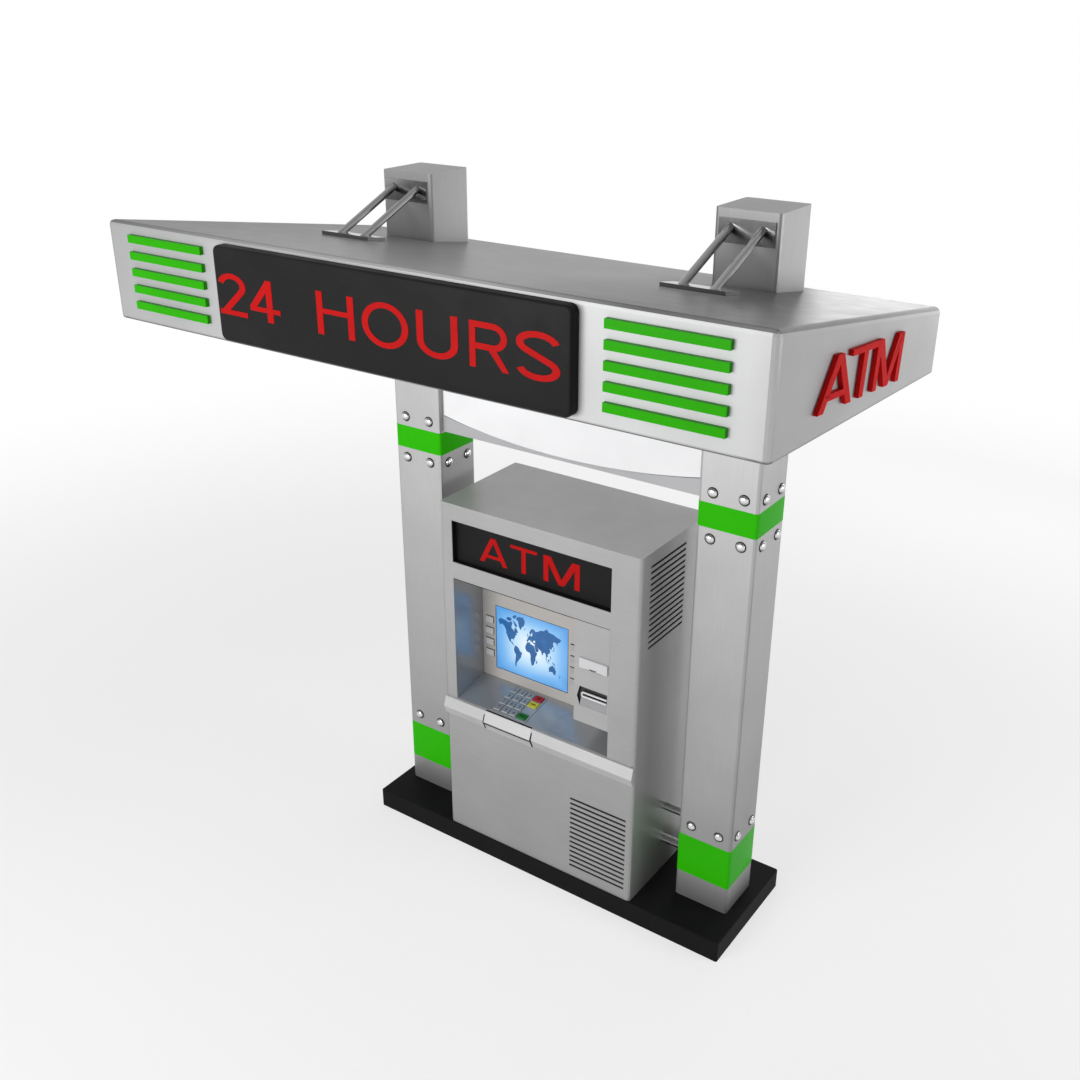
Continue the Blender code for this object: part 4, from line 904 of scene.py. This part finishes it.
# ---- recess trim and buttons
bezel = front_plane(screen_y - PANEL_BEHIND)
FRAME_OUT = 0.0006                # frames stand this far out of the bezel


def slim_frames(name, spans, widths):
    """Flat rubber frames round openings in the bezel; widths are left, right, bottom, top."""
    left, right, bottom, top = widths
    bm = bmesh.new()
    for x0, x1, z0, z1 in spans:
        outer = slab(x0 - left, x1 + right, z0 - bottom, z1 + top)
        ring(outer, slab(x0, x1, z0, z1), bezel, 0, FRAME_OUT, bm)
    piece(name, bm, gasket)


slim_frames("screen_gasket", [(*SCREEN_X, *SCREEN_Z)], (0.0015,) * 4)
FDK_LIP, FDK_CLEAR = 0.0015, 0.0006
button_spans = []
for side in ("left", "right"):
    for row in range(1, 5):
        low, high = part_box(f"fdk_{side}_{row}")
        inset = FDK_LIP - FDK_CLEAR
        button_spans.append((low.x + inset, high.x - inset, low.z + inset, high.z - inset))
# dark frames round the buttons: thin gaps at the left and bottom, wider at the top and right as painted shade
slim_frames("button_shade_lines", button_spans, (0.0005, 0.0020, 0.0005, 0.0026))

OPENING_X, OPENING_TOP = (-0.3725, 0.3116), 1.2075
module_low, module_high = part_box("service_module")
TRIM_INSET = 0.001                # seams and strips stop this far short of the module's sides
box_piece("opening_shade_strip",
          (OPENING_X[0] + 0.0004, cabinet_front + 0.0034, OPENING_TOP - 0.0050),
          (module_low.x - TRIM_INSET, cabinet_front + 0.0100, OPENING_TOP - 0.0004), gasket)
box_piece("module_top_seam",
          (module_low.x + TRIM_INSET, cabinet_front - 0.0004, module_high.z - 0.0014),
          (module_high.x - TRIM_INSET, cabinet_front + 0.0010, module_high.z + 0.0002),
          gasket)

# ---- card reader
reader_low, reader_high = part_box("card_reader")
CARD_LIP_X, CARD_LIP_Z, LIP_TUBE = (0.1955, 0.3045), (0.9000, 0.9250), 0.0042
lip_y = cabinet_front + 0.0012
POCKET_X, POCKET_FOOT, POCKET_DEPTH = (0.1905, 0.3050), 0.8655, 0.012
RAMP_BELOW_LIP = 0.003


def tube(bm, path, radius, segments=10):
    """A round tube along a flat path on an upright front-facing plane."""
    loops = []
    for i, (x, z) in enumerate(path):
        x0, z0 = path[max(i - 1, 0)]
        x1, z1 = path[min(i + 1, len(path) - 1)]
        way = Vector((x1 - x0, 0, z1 - z0)).normalized()
        side = way.cross(Vector((0, 1, 0)))
        turns = [2 * math.pi * k / segments for k in range(segments)]
        loops.append([Vector((x, lip_y, z)) + side * radius * math.cos(a)
                      + Vector((0, 1, 0)) * radius * math.sin(a) for a in turns])
    add_loops(bm, loops)


lip = bmesh.new()
lip_r = (CARD_LIP_Z[1] - CARD_LIP_Z[0]) / 2 - LIP_TUBE
lip_mid = sum(CARD_LIP_Z) / 2
bend = arc(CARD_LIP_X[0] + LIP_TUBE + lip_r, lip_mid, lip_r, lip_r, 90, 270, 12)
tube(lip, [(CARD_LIP_X[1], lip_mid + lip_r)] + bend + [(CARD_LIP_X[1], lip_mid - lip_r)], LIP_TUBE)
piece("card_slot_lip", lip, pale_grey, crease=60)
ramp = bmesh.new()
ramp_back = cabinet_front + POCKET_DEPTH - 0.0004
slope_side = [(cabinet_front + 0.0005, POCKET_FOOT), (ramp_back, POCKET_FOOT),
              (ramp_back, CARD_LIP_Z[0] - RAMP_BELOW_LIP)]
add_loops(ramp, [[(x, y, z) for y, z in slope_side] for x in POCKET_X])
piece("card_pocket_ramp", ramp, inner_grey)
SLIT_MIDDLE, SLIT_HALF, SLIT_Z = 0.2480, 0.015, (1.0270, 1.0295)
receipt_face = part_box("receipt_printer")[0].y
box_piece("receipt_slit", (SLIT_MIDDLE - SLIT_HALF, receipt_face - 0.0004, SLIT_Z[0]),
          (SLIT_MIDDLE + SLIT_HALF, receipt_face + 0.0010, SLIT_Z[1]), gasket)

# ---- dark baffles behind louvres, which stand in for the shade inside the vents
cabinet_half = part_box("front_fascia")[1].x
SIDE_VENT_Y, SIDE_VENT_Z = (-0.190, 0.067), (1.125, 1.475)
FRONT_VENT_X, FRONT_VENT_Z = (0.148, 0.405), (0.122, 0.472)
for label, side in (("left", -1), ("right", 1)):
    near, far = sorted((side * (cabinet_half - 0.0060), side * (cabinet_half - 0.0034)))
    box_piece(f"side_louvre_shade_baffle_{label}", (near, SIDE_VENT_Y[0], SIDE_VENT_Z[0]),
              (far, SIDE_VENT_Y[1], SIDE_VENT_Z[1]), gasket)
box_piece("front_vent_shade_baffle", (FRONT_VENT_X[0], cabinet_front + 0.0036, FRONT_VENT_Z[0]),
          (FRONT_VENT_X[1], cabinet_front + 0.0060, FRONT_VENT_Z[1]), gasket)

# ---- ledge and its flap
rail_low, rail_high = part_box("ledge_rail")
flap_low, flap_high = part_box("cash_flap")
FLAP_X = (-0.230, -0.016)
# outlines of the ledge and of its seal, as places out of the cabinet's front and up from the ledge's foot
PROFILE = ((0.0022, 0.0), (0.0062, 0.001), (0.0198, 0.035), (0.0062, 0.076), (0.0022, 0.078))
SEAL = ((0.0185, 0.0290), (0.0206, 0.0335), (0.0216, 0.0335), (0.0197, 0.0290))
PROFILE_MIDDLE, LEDGE_GAP = Vector((0.008, 0.039)), 0.0003
TRIM_T, TRIM_PROUD, TRIM_GAP, SEAL_PROUD = 0.0048, 0.0010, 0.0007, 0.0006
trims = bmesh.new()
sides = []
for out, up in PROFILE:
    grow = (Vector((out, up)) - PROFILE_MIDDLE).normalized() * TRIM_PROUD
    sides.append((cabinet_front - LEDGE_GAP - out - grow.x, rail_low.z + up + grow.y))
for x in (FLAP_X[0] - TRIM_T - TRIM_GAP, FLAP_X[1] + TRIM_GAP):
    add_loops(trims, [[(a, y, z) for y, z in sides] for a in (x, x + TRIM_T)])
piece("flap_trims", trims, gasket)
# a dark seal under the flap's nose: partly a real gap seal, partly the painted shadow line below the nose
seal = [(cabinet_front - LEDGE_GAP - out - SEAL_PROUD, rail_low.z + up) for out, up in SEAL]
bm = bmesh.new()
add_loops(bm, [[(x, y, z) for y, z in seal] for x in FLAP_X])
piece("flap_lip_seal_shadow", bm, gasket, body="cash_flap")
box_piece("flap_top_seam", (FLAP_X[0], cabinet_front - 0.0060, rail_high.z + 0.0003),
          (FLAP_X[1], cabinet_front - 0.0002, rail_high.z + 0.0015), gasket)

# ---- locks on the rear doors
LOCK_X, LOCKS = -0.300, (("service_door", 1.160), ("safe_door", 0.452))
LOCK_PROFILE = ((0.0004, 0.0052), (0.0082, 0.0052), (0.0096, 0.0040), (0.0098, 0.0030), (0.0118, 0.0026),
                (0.0122, 0.0016), (0.0122, LIFT), (0.0004, LIFT))
for door, z in LOCKS:
    place = facing((0, 1, 0), (-1, 0, 0), (LOCK_X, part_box(door)[1].y, z))
    barrel, hole = bmesh.new(), bmesh.new()
    lathe(barrel, LOCK_PROFILE, place)
    piece(f"lock_{door}", barrel, chrome, body=door)
    prism(slab(-0.0008, 0.0008, -0.0042, 0.0042), place, 0.0050, 0.0055, hole)
    piece(f"lock_keyway_{door}", hole, gasket, body=door)

# ---- key legends
SHELF_RISE, SHELF_RUN = 0.031, 0.173
SHELF_SLOPE = math.atan2(SHELF_RISE, SHELF_RUN)
KEY_FACE_LIFT = 0.0002
key_up = Vector((0, math.cos(SHELF_SLOPE), math.sin(SHELF_SLOPE)))
key_out = Vector((0, -math.sin(SHELF_SLOPE), math.cos(SHELF_SLOPE)))


def key_plane(node):
    """The plane of a key's top face, centred on it."""
    points = [v.co for v in nodes[node].data.vertices]
    top = max(p.dot(key_out) for p in points)
    low_u, high_u = min(p.x for p in points), max(p.x for p in points)
    spread = [p.dot(key_up) for p in points]
    middle = (min(spread) + max(spread)) / 2
    origin = Vector(((low_u + high_u) / 2, 0, 0)) + key_up * middle + key_out * top
    return facing(key_out, (1, 0, 0), origin)


def legend(node, text, size):
    """Flat lettering cut from the built-in font, on a key."""
    curve = bpy.data.curves.new(f"legend_{node}", "FONT")
    curve.body = text
    curve.size = size
    curve.align_x = "CENTER"
    curve.align_y = "CENTER"
    curve.extrude = KEY_FACE_LIFT
    curve.resolution_u = 3
    holder = in_scene(curve.name, curve)
    flat = bpy.data.meshes.new_from_object(holder.evaluated_get(bpy.context.evaluated_depsgraph_get()))
    bpy.data.objects.remove(holder, do_unlink=True)
    bm = bmesh.new()
    bm.from_mesh(flat)
    bmesh.ops.remove_doubles(bm, verts=bm.verts, dist=0.000001)
    bmesh.ops.transform(bm, verts=bm.verts, matrix=key_plane(node))
    piece(f"legend_{node}", bm, ink, body=node)


DIGIT_SIZE, STAR_SIZE, HASH_SIZE = 0.019, 0.026, 0.017
for digit in "0123456789":
    legend(f"key_{digit}", digit, DIGIT_SIZE)
legend("key_star", "*", STAR_SIZE)
legend("key_hash", "#", HASH_SIZE)
MARKS = {"cancel": [[(-0.007, -0.0055), (-0.005, -0.0075), (0.007, 0.0055), (0.005, 0.0075)],
                    [(0.007, -0.0055), (0.005, -0.0075), (-0.007, 0.0055), (-0.005, 0.0075)]],
         "clear": [slab(-0.011, 0.011, -0.0022, 0.0022)],
         "enter": [slab(-0.011, 0.011, -0.0022, 0.0022)]}
for label, outlines in MARKS.items():
    marks = bmesh.new()
    for i, points in enumerate(outlines):
        prism(points, key_plane(f"key_{label}"), 0, KEY_FACE_LIFT * (2 + i), marks)
    piece(f"mark_{label}", marks, ink, body=f"key_{label}")

# ---- camera, light
camera_data = bpy.data.cameras.new("camera")
camera_data.lens = LENS
camera_data.sensor_width = 36.0
camera_data.clip_end = 80.0
camera = in_scene("camera", camera_data)
camera.location = EYE
camera.rotation_euler = (math.radians(90 - ELEVATION), 0, math.radians(AZIMUTH))
bpy.context.scene.camera = camera


def lamp(name, where, target, size, power):
    data = bpy.data.lights.new(name, "AREA")
    data.shape = "RECTANGLE"
    data.size, data.size_y = size
    data.energy = power
    item = in_scene(name, data)
    item.location = where
    aim = Vector(target) - Vector(where)
    item.rotation_euler = aim.to_track_quat("-Z", "Y").to_euler()


lamp("key", (-1.2, -5.6, 2.5), (0, -0.4, 1.5), (3.6, 2.2), 240)
lamp("side", (4.4, 1.2, 2.1), (1.0, 0, 2.1), (1.6, 1.2), 62)
lamp("back", (0.5, 5.0, 1.9), (0, 0, 1.2), (3.5, 1.6), 60)

AMBIENT = 0.27                    # the world's light on the object; rays that see it find white


def seen_by_eye(tree):
    """1 for camera, glossy and transmission rays."""
    paths = tree.nodes.new("ShaderNodeLightPath")
    total = paths.outputs["Is Camera Ray"]
    for name in ("Is Glossy Ray", "Is Transmission Ray"):
        either = tree.nodes.new("ShaderNodeMath")
        either.operation = "MAXIMUM"
        tree.links.new(total, either.inputs[0])
        tree.links.new(paths.outputs[name], either.inputs[1])
        total = either.outputs[0]
    return total


world = bpy.data.worlds.new("studio")
world.use_nodes = True
bpy.context.scene.world = world
background = world.node_tree.nodes["Background"]
background.inputs["Color"].default_value = (1, 1, 1, 1)
strength = world.node_tree.nodes.new("ShaderNodeMapRange")
strength.inputs["To Min"].default_value = AMBIENT
strength.inputs["To Max"].default_value = 1.0
world.node_tree.links.new(seen_by_eye(world.node_tree), strength.inputs["Value"])
world.node_tree.links.new(strength.outputs["Result"], background.inputs["Strength"])

# floor: pale, keeps the kiosk's soft shadow, and fades to the white background
FLOOR_GLOW, FADE_FROM, FADE_TO = 0.66, 2.0, 7.0
FLOOR_HALF, FLOOR_DROP = 40, 0.0005
floor_mesh = bpy.data.meshes.new("floor")
bm = bmesh.new()
bmesh.ops.create_grid(bm, x_segments=1, y_segments=1, size=FLOOR_HALF)
bm.to_mesh(floor_mesh)
bm.free()
floor = in_scene("floor", floor_mesh)
floor.location.z = -FLOOR_DROP
s = Shade("floor_pale", roughness=0.9)
s.set("Base Color", s.tones(s.noise(0.8, 2), 0.84, 0.86))
x, y, _ = s.axes()
from_middle = s.math("SQRT", s.math("ADD", s.math("MULTIPLY", x, x), s.math("MULTIPLY", y, y)))
far = s.node("ShaderNodeMapRange", interpolation_type="SMOOTHSTEP")
for socket, value in (("Value", from_middle), ("From Min", FADE_FROM), ("From Max", FADE_TO),
                      ("To Min", FLOOR_GLOW), ("To Max", 1.0)):
    s.feed(far.inputs[socket], value)
white = s.node("ShaderNodeEmission")
blend = s.node("ShaderNodeMixShader")
s.feed(blend.inputs[0], s.math("MULTIPLY", far.outputs["Result"], seen_by_eye(s.tree)))
s.feed(blend.inputs[1], s.shader.outputs[0])
s.feed(blend.inputs[2], white.outputs[0])
s.feed(s.tree.nodes["Material Output"].inputs["Surface"], blend.outputs[0])
floor_mesh.materials.append(s.mat)

bpy.context.scene.view_settings.view_transform = "Standard"
